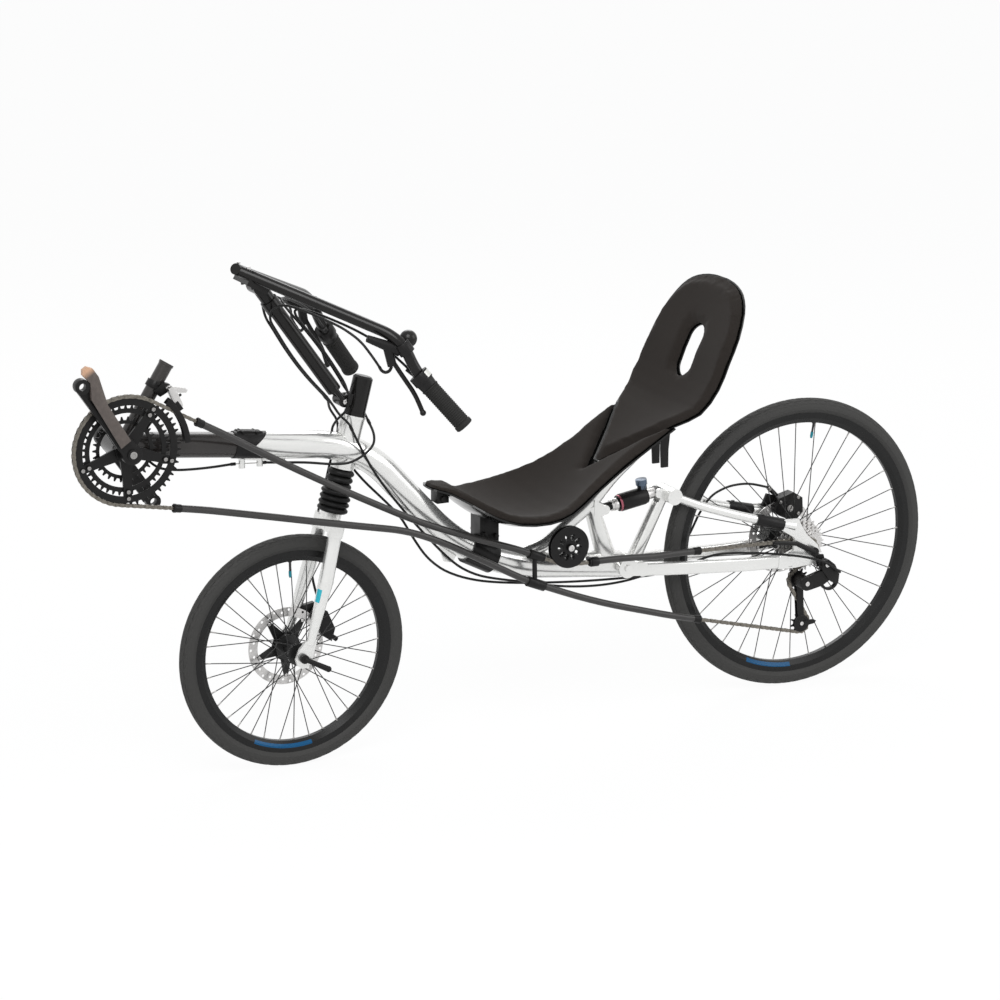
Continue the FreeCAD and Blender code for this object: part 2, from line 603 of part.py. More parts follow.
def shifter(side):
    """The twist shifter between the brake lever and the grip."""
    middle = grip_line(12, side)
    return cut(fuse([cylinder(20, grip_line(3, side), grip_line(22, side)),
                     cone(18.5, 16.8, grip_line(20, side), grip_line(35.7, side)),
                     cylinder(6.5, middle + Vector(-4, -12 * side, 2), middle + Vector(-16, -26 * side, 14))]),
               [bar_skin(side)])


def brake_lever(side):
    """Lever blade, its pivot and the fluid reservoir in a clamp round the bar."""
    def at(x, y, z):
        return Vector(x, y * side, z)

    return fuse([
        cylinder(15.5, at(143, 218, 891), at(154, 222.8, 872)),
        cone(7, 12, at(80, 203, 903), at(142, 213, 876)),
        cylinder(9, at(118, 209, 886), at(126, 214, 848)),
        solid(tube(mirrored(((122, 211, 866), (146, 217, 826), (168, 223, 792), (182, 230, 754)), side), 9), "blade"),
        ball(6, at(182, 230, 754)),
    ])


sub_part(compound([grip(-1), grip(1)]), "grips")
sub_part(compound([shifter(-1), shifter(1)]), "twist_shifters")


levers = [cut(brake_lever(s), [bar_skin(s)]) for s in (-1, 1)]
sub_part(compound(levers), "brake_levers")
BELL = Vector(166, -200, 894)
bell_body = fuse([ball(17, BELL), cylinder(6, BELL, (140, -214, 896))])
sub_part(cut(bell_body, [bar_skin(-1), levers[0]]), "bell")

# ---------------------------------------------------------------- wheels
SPOKES = 36


def tyre(name, bead):
    """A round tyre seated in its rim."""
    half = "Dims.tyre_width / 2"
    upper = [(bead + " + 1.4", 9.4), (bead + " + 8", 9.4), (bead + " + 18", half), (bead + " + 28", 14.5),
             (bead + " + 35", 5)]
    lower = [(radius, f"-({y})") for radius, y in reversed(upper)]
    return turned(name, upper + lower)


def rim(name, bead):
    """A box-section rim with hooked edges."""
    half = "Dims.rim_width / 2"
    profile = [(bead + " + 7", half), (bead + " + 7", "Dims.rim_width / 2 - 2"), (bead + " + 1", 9.6),
               (bead + " + 1", -9.6), (bead + " + 7", "2 - Dims.rim_width / 2"), (bead + " + 7", "-" + half),
               (bead + " - Dims.rim_depth * 0.4", "-" + half), (bead + " - Dims.rim_depth", -5),
               (bead + " - Dims.rim_depth", 5), (bead + " - Dims.rim_depth * 0.4", half)]
    return turned(name, profile)


def lacing(flange_radius, flange_y, bed_radius):
    """Crossed spokes from two flanges to the rim, as rods that don't touch."""
    rods = []
    for i in range(SPOKES):
        side = 1 if i % 2 else -1
        lead = 1 if (i // 2) % 2 else -1
        at_rim = 2 * math.pi * i / SPOKES
        at_hub = at_rim + lead * math.radians(62)
        y = flange_y[0 if side < 0 else 1] + 1.4 * lead
        start = (flange_radius * math.cos(at_hub), y, flange_radius * math.sin(at_hub))
        end = (bed_radius * math.cos(at_rim), 2.0 * side, bed_radius * math.sin(at_rim))
        rods.append(cylinder("Dims.spoke_dia / 2", start, end))
    return rods


def hub(name, profile, flange_radius, flange_y, bed_radius, extras):
    """A hub shell laced with its spokes."""
    shell = turned(name + "_shell", profile)
    axle_bore = cylinder(BORE, (0, -90, 0), (0, 90, 0))
    return cut(fuse([shell] + lacing(flange_radius, flange_y, bed_radius) + extras), [axle_bore])


ROTOR_ARMS = 5


def rotor_spider(y, tip_radius):
    """A five-armed carrier that a brake rotor is bolted to."""
    arms = [cylinder(30, (0, y - 1.2, 0), (0, y + 1.2, 0))]
    for i in range(ROTOR_ARMS):
        angle = math.radians(125 + 72 * i)
        out = Vector(math.cos(angle), 0, math.sin(angle))
        side = Vector(-out.z, 0, out.x)
        corners = [side * 17, out * tip_radius + side * 4, out * tip_radius - side * 4, side * -17]
        arms.append(plate([(c.x, c.z) for c in corners], y - 1.2, y + 1.2))
    return arms


def rotor(name, y, inner_radius):
    """A slotted brake rotor ring."""
    half = dim("rotor_thick") / 2
    ring = turned(name + "_ring", [("Dims.rotor_dia / 2", y + half), ("Dims.rotor_dia / 2", y - half),
                                   (inner_radius, y - half), (inner_radius, y + half)])
    slots = []
    for i in range(ROTOR_SLOTS):
        angle = 2 * math.pi * i / ROTOR_SLOTS
        radius = dim("rotor_dia") / 2 - (5 if i % 2 else 10)
        x, z = radius * math.cos(angle), radius * math.sin(angle)
        slots.append(cylinder(2.6, (x, y - 3, z), (x, y + 3, z)))
    return cut(ring, slots)


ROTOR_SLOTS = 30
SPIDER_TIP = 64
BORE = "Dims.axle_dia / 2 + 0.1"
front_hub_profile = [(BORE, -49.8), (9, -49.8), (9, -32), (22, -31), (22, -25), (12, -20), (12, 20),
                     (26, 22), (26, 30), (17, 33), (17, 38), (9, 42), (9, 49.8), (BORE, 49.8)]
rear_hub_profile = [(BORE, -18), (24, -18), (24, -10), (14, -6), (14, 26), (24, 30), (24, 36), (18, 40),
                    (18, 56), (9, 58), (9, 67.3), (BORE, 67.3)]
for end, bead, profile, flange_r, flanges, rotor_y, x, z in (
        ("front", "Dims.front_bead", front_hub_profile, 19, (-28, 26), ROTOR_FRONT_Y, "0", "Dims.front_axle_z"),
        ("rear", "Dims.rear_bead", rear_hub_profile, 21, (-14, 33), ROTOR_REAR_Y, "Dims.wheelbase",
         "Dims.rear_axle_z")):
    sub_part(tyre(end + "_tyre_body", bead), end + "_tyre", x, z)
    sub_part(rim(end + "_rim_body", bead), end + "_rim", x, z)
    bed = value_of(bead) - dim("rim_depth") + 1
    spider = rotor_spider(rotor_y, SPIDER_TIP)
    sub_part(hub(end + "_hub", profile, flange_r, flanges, bed, spider), end + "_hub", x, z)
    ring_cut = cut(rotor(end + "_rotor", rotor_y, 61), rotor_spider(rotor_y, SPIDER_TIP + 0.02))
    sub_part(ring_cut, end + "_rotor", x, z)

# ---------------------------------------------------------------- chain line
PITCH = dim("chain_pitch")
RING_TEETH, IDLER_TEETH, SPROCKET_TEETH = (int(dim(name + "_teeth")) for name in ("ring", "idler", "sprocket"))
UPPER_PULLEY, LOWER_PULLEY = (1136, 250), (1144.5, 152.3)
PULLEY_TEETH = (11, 10)


def pitch_radius(teeth):
    """Pitch radius of a sprocket."""
    return PITCH / (2 * math.sin(math.pi / teeth))


def wheel(x, z, teeth, sense):
    """A toothed wheel on the chain's way: place, teeth, and 1 where the chain turns anticlockwise."""
    return (x, z, pitch_radius(teeth) if teeth else 0, sense, teeth)


def tangent(first, second):
    """The line that leaves one wheel and meets the next."""
    (x1, z1, r1, s1, _), (x2, z2, r2, s2, _) = first, second
    gap = math.hypot(x2 - x1, z2 - z1)
    heading = math.atan2(z2 - z1, x2 - x1) - math.asin((s2 * r2 - s1 * r1) / gap)
    left = (-math.sin(heading), math.cos(heading))
    return [(x - s * r * left[0], z - s * r * left[1]) for x, z, r, s, _ in (first, second)]


def chain_run(stations):
    """Pin centres, one pitch apart, along a run that wraps its wheels in turn.

    Also gives the angle of one pin on each wheel, which its teeth are set by.
    """
    pieces, seats = [], []
    touch = [tangent(a, b) for a, b in zip(stations, stations[1:])]
    for i, (start, end) in enumerate(touch):
        pieces.append(("line", (start, end), math.dist(start, end)))
        if i + 1 < len(touch):
            x, z, r, s, teeth = stations[i + 1]
            first = math.atan2(end[1] - z, end[0] - x)
            last = math.atan2(touch[i + 1][0][1] - z, touch[i + 1][0][0] - x)
            sweep = (s * (last - first)) % (2 * math.pi)
            pieces.append(("arc", (x, z, r, s, first, sweep), sweep * teeth * PITCH / (2 * math.pi)))
    total = sum(piece[-1] for piece in pieces)
    pins = []
    for k in range(int(total / PITCH) + 1):
        left = k * PITCH
        for piece in pieces:
            if left <= piece[-1] or piece is pieces[-1]:
                break
            left -= piece[-1]
        share = left / piece[-1]
        if piece[0] == "line":
            pins.append(tuple(a + (b - a) * share for a, b in zip(*piece[1])))
        else:
            x, z, r, s, first, sweep = piece[1]
            angle = first + s * sweep * share
            pins.append((x + r * math.cos(angle), z + r * math.sin(angle)))
            seats.append((x, z, angle))
    return pins, seats


CRANK_WHEEL = wheel(CRANK.x, CRANK.z, RING_TEETH, 1)
IDLER_WHEEL = wheel(dim("idler_x"), dim("idler_z"), IDLER_TEETH, 1)
COG_WHEEL = wheel(AXLE_REAR.x, AXLE_REAR.z, SPROCKET_TEETH, -1)
# Mouths of the chain tubes, where the chain goes in and out.
MOUTHS = {"upper_front": (-208, 739), "upper_rear": (528, 376), "rear_front": (636, 353), "rear_rear": (894, 344),
          "return_front": (-259, 575), "return_rear": (897, 194)}


def line_into(mouth, wheel_at, sense_into):
    """Unit direction of the chain at a tube's mouth, pointing away from its wheel."""
    x, z = MOUTHS[mouth]
    point = (x, z, 0, 1, 0)
    ends = tangent(wheel_at, point) if sense_into > 0 else tangent(point, wheel_at)
    at_wheel = ends[0] if sense_into > 0 else ends[1]
    away = Vector(x - at_wheel[0], 0, z - at_wheel[1])
    return away.normalize()


# Straight stretch of each tube behind its mouth, in line with the chain.
MOUTH_RUN = 62
chain_lines = {
    "upper_front": line_into("upper_front", CRANK_WHEEL, -1),
    "return_front": line_into("return_front", CRANK_WHEEL, 1),
    "upper_rear": line_into("upper_rear", IDLER_WHEEL, -1),
    "rear_front": line_into("rear_front", IDLER_WHEEL, 1),
    "rear_rear": line_into("rear_rear", COG_WHEEL, -1),
    "return_rear": line_into("return_rear", wheel(*LOWER_PULLEY, PULLEY_TEETH[1], -1), 1),
}


def mouth_points(mouth, y):
    """A tube's end point and the next one in, on the chain's line."""
    x, z = MOUTHS[mouth]
    start = Vector(x, y, z)
    return [tuple(start), tuple(start + chain_lines[mouth] * MOUTH_RUN)]


def inside(mouth, depth):
    """A point on the chain's line inside a tube."""
    x, z = MOUTHS[mouth]
    run = chain_lines[mouth]
    return (x + run.x * depth, z + run.z * depth, 0, 1, 0)


ENTRY = 9
RING_Y, CHAIN_Y = dim("ring_y"), dim("chain_y")
CHAIN_RUNS = (
    ((inside("upper_front", ENTRY), CRANK_WHEEL, inside("return_front", ENTRY)), RING_Y),
    ((inside("upper_rear", ENTRY), IDLER_WHEEL, inside("rear_front", ENTRY)), CHAIN_Y),
    ((inside("rear_rear", ENTRY), COG_WHEEL, wheel(*UPPER_PULLEY, PULLEY_TEETH[0], 1),
      wheel(*LOWER_PULLEY, PULLEY_TEETH[1], -1), inside("return_rear", ENTRY)), CHAIN_Y),
)
INNER_PLATE, OUTER_PLATE = 1.9, 3.0
PLATE_THICK, PLATE_TALL, PLATE_OVERHANG = 0.9, 7.2, 3


def link_plates(pins, y):
    """Side plates of every link, inner and outer in turn."""
    plates = []
    for i, (a, b) in enumerate(zip(pins, pins[1:])):
        offset = INNER_PLATE if i % 2 else OUTER_PLATE
        start, end = Vector(a[0], y, a[1]), Vector(b[0], y, b[1])
        turn = Rotation(Vector(1, 0, 0), end - start)
        for side in (-1, 1):
            corner = Vector(-PLATE_OVERHANG, offset * side - PLATE_THICK / 2, -PLATE_TALL / 2)
            flat = Part.makeBox(PITCH + 2 * PLATE_OVERHANG, PLATE_THICK, PLATE_TALL, corner)
            flat.Placement = Placement(start, turn)
            plates.append(flat)
    return plates


links, seat_angles = [], {}
for stations, plane in CHAIN_RUNS:
    pins, seats = chain_run(stations)
    links += link_plates(pins, plane)
    seat_angles.update({(round(x), round(z)): angle for x, z, angle in seats})
sub_part(solid(Part.makeCompound(links), "links"), "chain")


def toothed(teeth, y, seat_angle, bore, thick=1.8):
    """A toothed ring whose gaps hold the chain's pins, the first at one angle."""
    radius = pitch_radius(teeth)
    root, tip = radius - 3.9, radius + 3.0
    step = 2 * math.pi / teeth
    outline = []
    for i in range(teeth):
        middle = seat_angle + step * (i + 0.5)
        for share, r in ((-0.26, root), (-0.09, tip), (0.09, tip), (0.26, root)):
            angle = middle + share * step
            outline.append((r * math.cos(angle), r * math.sin(angle)))
    ring = plate(outline, y - thick / 2, y + thick / 2)
    return cut(ring, [cylinder(bore, (0, y - 3, 0), (0, y + 3, 0))]) if bore else ring


# ---------------------------------------------------------------- sprockets
COG_TEETH = (SPROCKET_TEETH, 13, 15, 17, 19, 22, 25, 28)
cog_seat = seat_angles[(round(AXLE_REAR.x), round(AXLE_REAR.z))]
cogs = [toothed(teeth, CHAIN_Y + dim("cog_step") * i, cog_seat, 0) for i, teeth in enumerate(COG_TEETH)]
freehub = cylinder(16, (0, -62, 0), (0, -19, 0))
lock_ring = cylinder(14, (0, -64, 0), (0, -60, 0))
freehub_bore = cylinder("Dims.axle_dia / 2 + 0.1", (0, -70, 0), (0, 0, 0))
sub_part(cut(fuse(cogs + [freehub, lock_ring]), [freehub_bore]), "cassette", "Dims.wheelbase", "Dims.rear_axle_z")

# ---------------------------------------------------------------- chainrings
ring_seat = seat_angles[(round(CRANK.x), round(CRANK.z))]
RINGS = ((RING_TEETH, 88), (42, 72), (30, 50))
rings = [toothed(teeth, RING_Y + dim("ring_step") * i, ring_seat, bore, 2) for i, (teeth, bore) in enumerate(RINGS)]
SPIDER_LOW, SPIDER_HIGH = RING_Y + 0.8, RING_Y + dim("ring_step") - 0.8
ARM_STEP = 72


def spoke_at(radius, i):
    """A point on one of the spider's five lines."""
    angle = math.radians(ARM_STEP * i + 54)
    return radius * math.cos(angle), radius * math.sin(angle)


spider_arms = []
for i in range(5):
    (x, z), (side_x, side_z) = spoke_at(1, i), spoke_at(1, i + 90 / ARM_STEP)
    corners = [(radius * x + half * side_x, radius * z + half * side_z)
               for radius, half in ((10, 14), (60, 9), (96, 8), (96, -8), (60, -9), (10, -14))]
    spider_arms.append(plate(corners, SPIDER_LOW, SPIDER_HIGH))
posts = [cylinder(4.5, (spoke_at(53, i)[0], SPIDER_LOW, spoke_at(53, i)[1]),
                  (spoke_at(53, i)[0], RING_Y + 2 * dim("ring_step") + 1, spoke_at(53, i)[1])) for i in range(5)]
ring_bolts = [cylinder(5, (spoke_at(radius, i)[0], RING_Y - 3, spoke_at(radius, i)[1]),
                       (spoke_at(radius, i)[0], SPIDER_HIGH, spoke_at(radius, i)[1]))
              for i in range(5) for radius in (80, 93)]
ring_hub = cylinder(24, (0, RING_Y - 4, 0), (0, RING_Y + dim("ring_step") + 3, 0))
ring_bore = cylinder("Dims.spindle_dia / 2 + 0.05", (0, -80, 0), (0, 0, 0))
sub_part(cut(fuse(rings + spider_arms + posts + ring_bolts + [ring_hub]), [ring_bore]), "chainrings",
         "Dims.crank_x", "Dims.crank_z")

# ---------------------------------------------------------------- crank arms
arm_angle = math.radians(124)
arm_out = Vector(math.cos(arm_angle), 0, math.sin(arm_angle))
EYE_HALF_LONG = 9


def crank_arm(side):
    """One tapering crank arm with its bored pedal eye."""
    out = arm_out * (-side)
    flank = Vector(-out.z, 0, out.x)
    tip = out * dim("crank_long")
    inner, outer = sorted((66 * side, 84 * side))
    eye_low, eye_high = sorted((72 * side, 90 * side))
    arm_low, arm_high = sorted((72 * side, 84 * side))
    corners = [flank * 17, out * 60 + flank * 14, tip + flank * 13, tip - flank * 13, out * 60 - flank * 14, flank * -17]
    root = cylinder(20, (0, inner, 0), (0, outer, 0))
    eye = cylinder(14.5, (tip.x, eye_low, tip.z), (tip.x, eye_high, tip.z))
    bar = plate([(c.x, c.z) for c in corners], arm_low, arm_high)
    hole = cylinder(7.14, (tip.x, 40 * side, tip.z), (tip.x, 120 * side, tip.z))
    groove = plate([(c.x, c.z) for c in (out * 40 + flank * 6, tip - out * 26 + flank * 5, tip - out * 26 - flank * 5,
                                         out * 40 - flank * 6)], *sorted((82 * side, 90 * side)))
    return cut(fuse([root, eye, bar]), [hole, groove])


spindle = cylinder("Dims.spindle_dia / 2", (0, -70, 0), (0, 70, 0))
bolt_caps = [cylinder(11, (0, 80 * s, 0), (0, 88 * s, 0)) for s in (-1, 1)]
# A guard strip lies on the near arm and runs past its eye: how far out, and how far to the rear side.
GUARD = ((28, -12), (140, -2), (168, 15), (190, 12), (198, 18), (198, 28), (188, 35), (168, 35), (112, 17), (28, 12))
rearward = Vector(arm_out.z, 0, -arm_out.x)
guard_points = [arm_out * out + rearward * side for out, side in GUARD]
guard = plate([(p.x, p.z) for p in guard_points], -93, -83)
crank_pieces = [crank_arm(-1), crank_arm(1), spindle, guard] + bolt_caps
sub_part(fuse(crank_pieces), "crank_arms", "Dims.crank_x", "Dims.crank_z")

# ---------------------------------------------------------------- idler
idler_seat = seat_angles[(round(dim("idler_x")), round(dim("idler_z")))]
GUARD_R = pitch_radius(IDLER_TEETH) + 5
idler_teeth = toothed(IDLER_TEETH, CHAIN_Y, idler_seat, 0)
guards = [cylinder(GUARD_R, (0, CHAIN_Y + low, 0), (0, CHAIN_Y + low + 1.8, 0)) for low in (-6, 4.2)]
idler_core = cylinder(12, (0, CHAIN_Y - 6, 0), (0, CHAIN_Y + 6, 0))
idler_web = cylinder(29, (0, CHAIN_Y - 5, 0), (0, CHAIN_Y + 5, 0))
HOLES = 10
idler_holes = []
for i in range(HOLES):
    angle = 2 * math.pi * i / HOLES
    out = Vector(math.cos(angle), 0, math.sin(angle))
    for radius in (18.5, 24):
        spot = out * radius
        idler_holes.append(cylinder(4, (spot.x, CHAIN_Y - 9, spot.z), (spot.x, CHAIN_Y + 9, spot.z)))
idler_bore = cylinder(5.1, (0, CHAIN_Y - 12, 0), (0, CHAIN_Y + 12, 0))
sub_part(cut(fuse([idler_teeth, idler_core, idler_web] + guards), idler_holes + [idler_bore]), "idler_wheel",
         "Dims.idler_x", "Dims.idler_z")

IDLER_AT = Vector(dim("idler_x"), 0, dim("idler_z"))
idler_post = fuse([
    cylinder(5, IDLER_AT + ACROSS * (CHAIN_Y - 12), IDLER_AT - ACROSS * 10),
    cylinder(7, IDLER_AT + ACROSS * (CHAIN_Y - 11), IDLER_AT + ACROSS * (CHAIN_Y - 6.5)),
    cylinder(11, IDLER_AT + ACROSS * (CHAIN_Y + 6.5), IDLER_AT - ACROSS * 14),
])
arch_skin = solid(tube(ARCH_PATH, dim("arch_dia") + 0.02), "arch_skin")
sub_part(cut(idler_post, [arch_skin]), "idler_post")

# ---------------------------------------------------------------- chain tubes
upper_points = mouth_points("upper_front", RING_Y) + [(-20, -52, 630), (113, -53, 557), (264, -56, 479),
                                                      (400, -57.5, 427)] + mouth_points("upper_rear", CHAIN_Y)[::-1]
rear_points = mouth_points("rear_front", CHAIN_Y) + [(790, -58, 345.5)] + mouth_points("rear_rear", CHAIN_Y)[::-1]
return_points = mouth_points("return_front", RING_Y) + [(-60, -58, 535), (60, -70, 510), (220, -70, 475), (300, -66, 440),
                                                        (405, -62, 382), (490, -60, 333), (650, -59, 266)]
return_points += mouth_points("return_rear", CHAIN_Y)[::-1]
for name, points in (("chain_tube_upper", upper_points), ("chain_tube_rear", rear_points),
                     ("chain_tube_return", return_points)):
    sub_part(solid(tube(points, dim("tube_dia"), dim("tube_bore")), name + "_sweep"), name)

# Clips: a strap that hangs the return tube from the upper one, and bands on the tubes' ends.
strap = cylinder(5, (509, -58, 382), (509, -60, 323))
strap_bands = [cylinder(10, (496, -58, 389.5), (524, -58, 377.6)), cylinder(10.5, (492, -60, 332.2), (530, -60, 316.3))]
catcher = fuse([cylinder(10, inside_at, mouth_at) for inside_at, mouth_at in (
    (Vector(638, -58, 353), Vector(654, -58, 352.5)),)] + [cylinder(5, (646, -52, 353), (646, -30, 352))])
tube_skins = [solid(tube(points, dim("tube_dia") + 0.02), "tube_skin") for points in
              (upper_points, rear_points, return_points)]
clip_room = tube_skins + [solid(tube(MAIN_PATH, dim("main_dia") + 0.02), "main_tube_skin")]
sub_part(cut(compound([fuse([strap] + strap_bands), catcher]), clip_room), "chain_tube_clips")

# ---------------------------------------------------------------- seat
# Sections along the seat: x, z, half width, how far the sides rise.
LOWER_SEAT = ((299, 551.2, 16, 1), (306, 550, 30, 1.5), (318, 546, 39, 2.2), (336, 538, 50, 3.5), (364, 516, 76, 8),
              (396, 490, 116, 14), (432, 474, 150, 20),
              (490, 466, 163, 27), (550, 476, 157, 29), (612, 510, 132, 23), (676, 556, 120, 16), (736, 596, 121, 14),
              (794, 633, 121, 12))
UPPER_SEAT = ((676, 556, 10, 1.5), (736, 596, 66, 4), (794, 633, 120, 12), (838, 661, 150, 12), (872, 711, 161, 11),
              (894, 763, 162, 10), (919, 814, 156, 9), (940, 858, 136, 7), (951, 884, 112, 5), (958, 899, 84, 3.5),
              (962.5, 908, 48, 2), (964, 911, 16, 1))


def filled_in(rows):
    """The sections with one more between each two, on a smooth curve through their neighbours."""
    filled = []
    for i in range(len(rows) - 1):
        a, b, c, d = (rows[min(max(i + k, 0), len(rows) - 1)] for k in (-1, 0, 1, 2))
        filled += [b, tuple((9 * (q + r) - p - s) / 16 for p, q, r, s in zip(a, b, c, d))]
    return filled + [rows[-1]]


def seat_frames(sections):
    """Each section's point, direction along the seat and direction out of its top."""
    frames = []
    for i, (x, z, _, _) in enumerate(sections):
        before, after = sections[max(i - 1, 0)], sections[min(i + 1, len(sections) - 1)]
        along = Vector(after[0] - before[0], 0, after[1] - before[1]).normalize()
        frames.append((Vector(x, 0, z), along, Vector(-along.z, 0, along.x)))
    return frames


def seat_layer(rows, low, high, margin=0):
    """A dished band lofted through arc sections, between two depths from the pad's top."""
    sections = filled_in(rows)
    wires = []
    for (_, _, half, dish), (centre, _, out) in zip(sections, seat_frames(sections)):
        half += margin

        def at(side, depth, rise):
            return centre + ACROSS * (half * side) + out * (depth + rise)

        edges = []
        for depth, sides in ((high, (-1, 1)), (low, (1, -1))):
            edges.append(Part.Arc(at(sides[0], depth, dish), at(0, depth, 0), at(sides[1], depth, dish)).toShape())
            other = low if depth == high else high
            edges.append(Part.LineSegment(at(sides[1], depth, dish), at(sides[1], other, dish)).toShape())
        wires.append(Part.Wire(edges))
    return Part.makeLoft(wires, True, True)


PAD, SHELL = dim("pad_thick"), dim("shell_thick")
UPPER_PAD, UPPER_SHELL = PAD * 0.7, SHELL * 0.8
lower_end, lower_along, lower_out = seat_frames(LOWER_SEAT)[-1]
notch_tip = Vector(652, 0, 538.5)
notch_corner = lower_end + lower_along * 30
notch_outline = Part.makePolygon([p - lower_out * 60 for p in (
    notch_tip, notch_corner + ACROSS * 146, notch_corner - ACROSS * 146, notch_tip)])
notch = solid(Part.Face(notch_outline).extrude(lower_out * 120), "seat_notch")
lower_pad = solid(seat_layer(LOWER_SEAT, -PAD, 0), "lower_pad")
sub_part(cut(lower_pad, [notch]), "seat_pad_lower")
sub_part(solid(seat_layer(LOWER_SEAT, -PAD - 0.4 - SHELL, -PAD - 0.4, 3), "lower_shell"), "seat_shell_lower")

hole_centre, hole_along, hole_out = seat_frames(UPPER_SEAT)[5]
HOLE_HALF_LONG = 28


def head_hole(half_width):
    """A rounded slot through the seat behind the rider's neck."""
    ends = [cylinder(half_width, hole_centre + hole_along * s - hole_out * 40,
                     hole_centre + hole_along * s + hole_out * 40) for s in (-HOLE_HALF_LONG, HOLE_HALF_LONG)]
    middle = box((-HOLE_HALF_LONG, -half_width, -40), (HOLE_HALF_LONG, half_width, 40))
    middle.Placement = Placement(hole_centre, Rotation(UP, hole_out)) * Placement(
        Vector(-HOLE_HALF_LONG, -half_width, -40), Rotation())
    return ends + [middle]


upper_pad = solid(seat_layer(UPPER_SEAT, -UPPER_PAD, 0), "upper_pad")
sub_part(cut(upper_pad, head_hole(30)), "seat_pad_upper")
upper_shell = solid(seat_layer(UPPER_SEAT, -UPPER_PAD - 0.3 - UPPER_SHELL, -UPPER_PAD - 0.3, 3), "upper_shell")
lower_skin = solid(seat_layer(LOWER_SEAT, -PAD - 0.5 - SHELL, -PAD - 0.3, 4), "lower_skin")
sub_part(cut(upper_shell, head_hole(28) + [lower_skin]), "seat_shell_upper")

# ---------------------------------------------------------------- seat clamps
# The lower clamp is a band round the main tube's bend with a riser under the shell.
bend = Vector(412.8, 0, 386.5)
bend_run = Vector(0.887, 0, -0.462)
band = cylinder(31.5, bend - bend_run * 32, bend + bend_run * 32)
riser = box((404, -22, 398), (446, 22, 480))
clamp_bolts = [cylinder(5, (x, -30, z), (x, 30, z)) for x, z in ((412, 432), (438, 426))]
main_skin = solid(tube(MAIN_PATH, dim("main_dia") + 0.02), "clamp_seat")
shell_room = solid(seat_layer(LOWER_SEAT, -PAD - 0.5 - SHELL, 60, 20), "shell_room")
lip_block = fuse([box((312, -15, 505), (338, 15, 540)), cylinder(6, (325, -20, 514), (325, 20, 514))])
sub_part(cut(compound([fuse([band, riser] + clamp_bolts), lip_block]), [main_skin, shell_room]), "seat_clamp")

prongs = [plate(((820, 640), (846, 640), (838, 560), (838, 522), (822, 522), (820, 560)), *sorted((16 * s, 21 * s)))
          for s in (-1, 1)]
bracket_cross = box((816, -21, 604), (848, 21, 640))
upper_room = solid(seat_layer(UPPER_SEAT[1:6], -UPPER_PAD - 0.4 - UPPER_SHELL, 60, 20), "upper_room")
lower_room = solid(seat_layer(LOWER_SEAT, -PAD - 0.5 - SHELL, 60, 20), "lower_room")
bracket_skin = solid(tube(ARCH_PATH, dim("arch_dia") + 0.02), "arch_skin")
sub_part(cut(fuse(prongs + [bracket_cross]), [upper_room, lower_room, bracket_skin]), "seat_bracket")

# ---------------------------------------------------------------- rear derailleur
def cage_plate(y):
    """One side of the pulley cage."""
    top, bottom = (Vector(x, 0, z) for x, z in (UPPER_PULLEY, LOWER_PULLEY))
    down = (bottom - top).normalize()
    side = Vector(-down.z, 0, down.x)
    outline = [top - down * 10 + side * 4, top + side * 10, bottom + side * 7, bottom + down * 8, bottom - side * 7,
               top - side * 6, top - down * 10 - side * 4]
    return plate([(p.x, p.z) for p in outline], y - 0.8, y + 0.8)


def pulley(centre, teeth):
    """A jockey pulley and its bolt between the cage plates."""
    x, z = centre
    seat = seat_angles[(round(x), round(z))]
    rim_shape = toothed(teeth, CHAIN_Y, seat, 0)
    rim_shape.Placement = Placement(Vector(x, 0, z), Rotation())
    return [rim_shape, cylinder(4, (x, CHAIN_Y - 7, z), (x, CHAIN_Y + 7, z))]


HANGER, KNUCKLE = Vector(1182, -84, 287), Vector(UPPER_PULLEY[0], -84, UPPER_PULLEY[1])
HOOK = (1194, 250)
mech_pieces = [
    cylinder(10, HANGER + ACROSS * 18, HANGER - ACROSS * 8),
    plate(((1166, 306), (1186, 304), (1192, 284), (1172, 278)), -79, -DROPOUT_Y - 7.05),
    plate(((1174, 295), (1188, 297), (1204, 284), (1215, 262), (1213, 244), (1204, 242), (1188, 254), (1172, 276)),
          -98, -82),
    sector(HOOK, 17, 22.5, 190, 350, -94, -86),
    plate(((1190, 272), (1204, 256), (1176, 240), (1144, 234), (1140, 264), (1168, 272)), -94, -84),
    cylinder(15, KNUCKLE - ACROSS * 14, KNUCKLE + ACROSS * 20.5),
    plate(((1150, 146), (1176, 149), (1180, 154), (1174, 158), (1150, 158)), -66.6, -62.6),
]
mech = fuse(mech_pieces + [cage_plate(CHAIN_Y - 5.4), cage_plate(CHAIN_Y + 5.4)]
            + pulley(UPPER_PULLEY, PULLEY_TEETH[0]) + pulley(LOWER_PULLEY, PULLEY_TEETH[1]))
axle_room = cylinder(10.1, AXLE_REAR - ACROSS * 100, AXLE_REAR - ACROSS * 50)
dropout_room = plate(DROPOUT, -DROPOUT_Y - 7.02, -DROPOUT_Y + 10)
sub_part(cut(mech, [axle_room, dropout_room]), "rear_derailleur")

# ---------------------------------------------------------------- front derailleur
post_line = (POST_TOP - POST_FOOT).normalize()
post_clamp = cylinder(17, POST_FOOT + post_line * 114, POST_FOOT + post_line * 128)
clamp_arm = plate(((-282, 800), (-264, 815), (-250, 811), (-247, 800), (-258, 794), (-270, 788)), -22, -8)
clamp_bolt = cylinder(4, (-272, -18, 814), (-264, 18, 809))
post_skin = cylinder(14.02, POST_FOOT, POST_FOOT + post_line * 200)
sub_part(cut(fuse([post_clamp, clamp_arm, clamp_bolt]), [post_skin]), "front_derailleur")
CAGE_GAP = 6.5
cage_centre = (CRANK.x, CRANK.z)
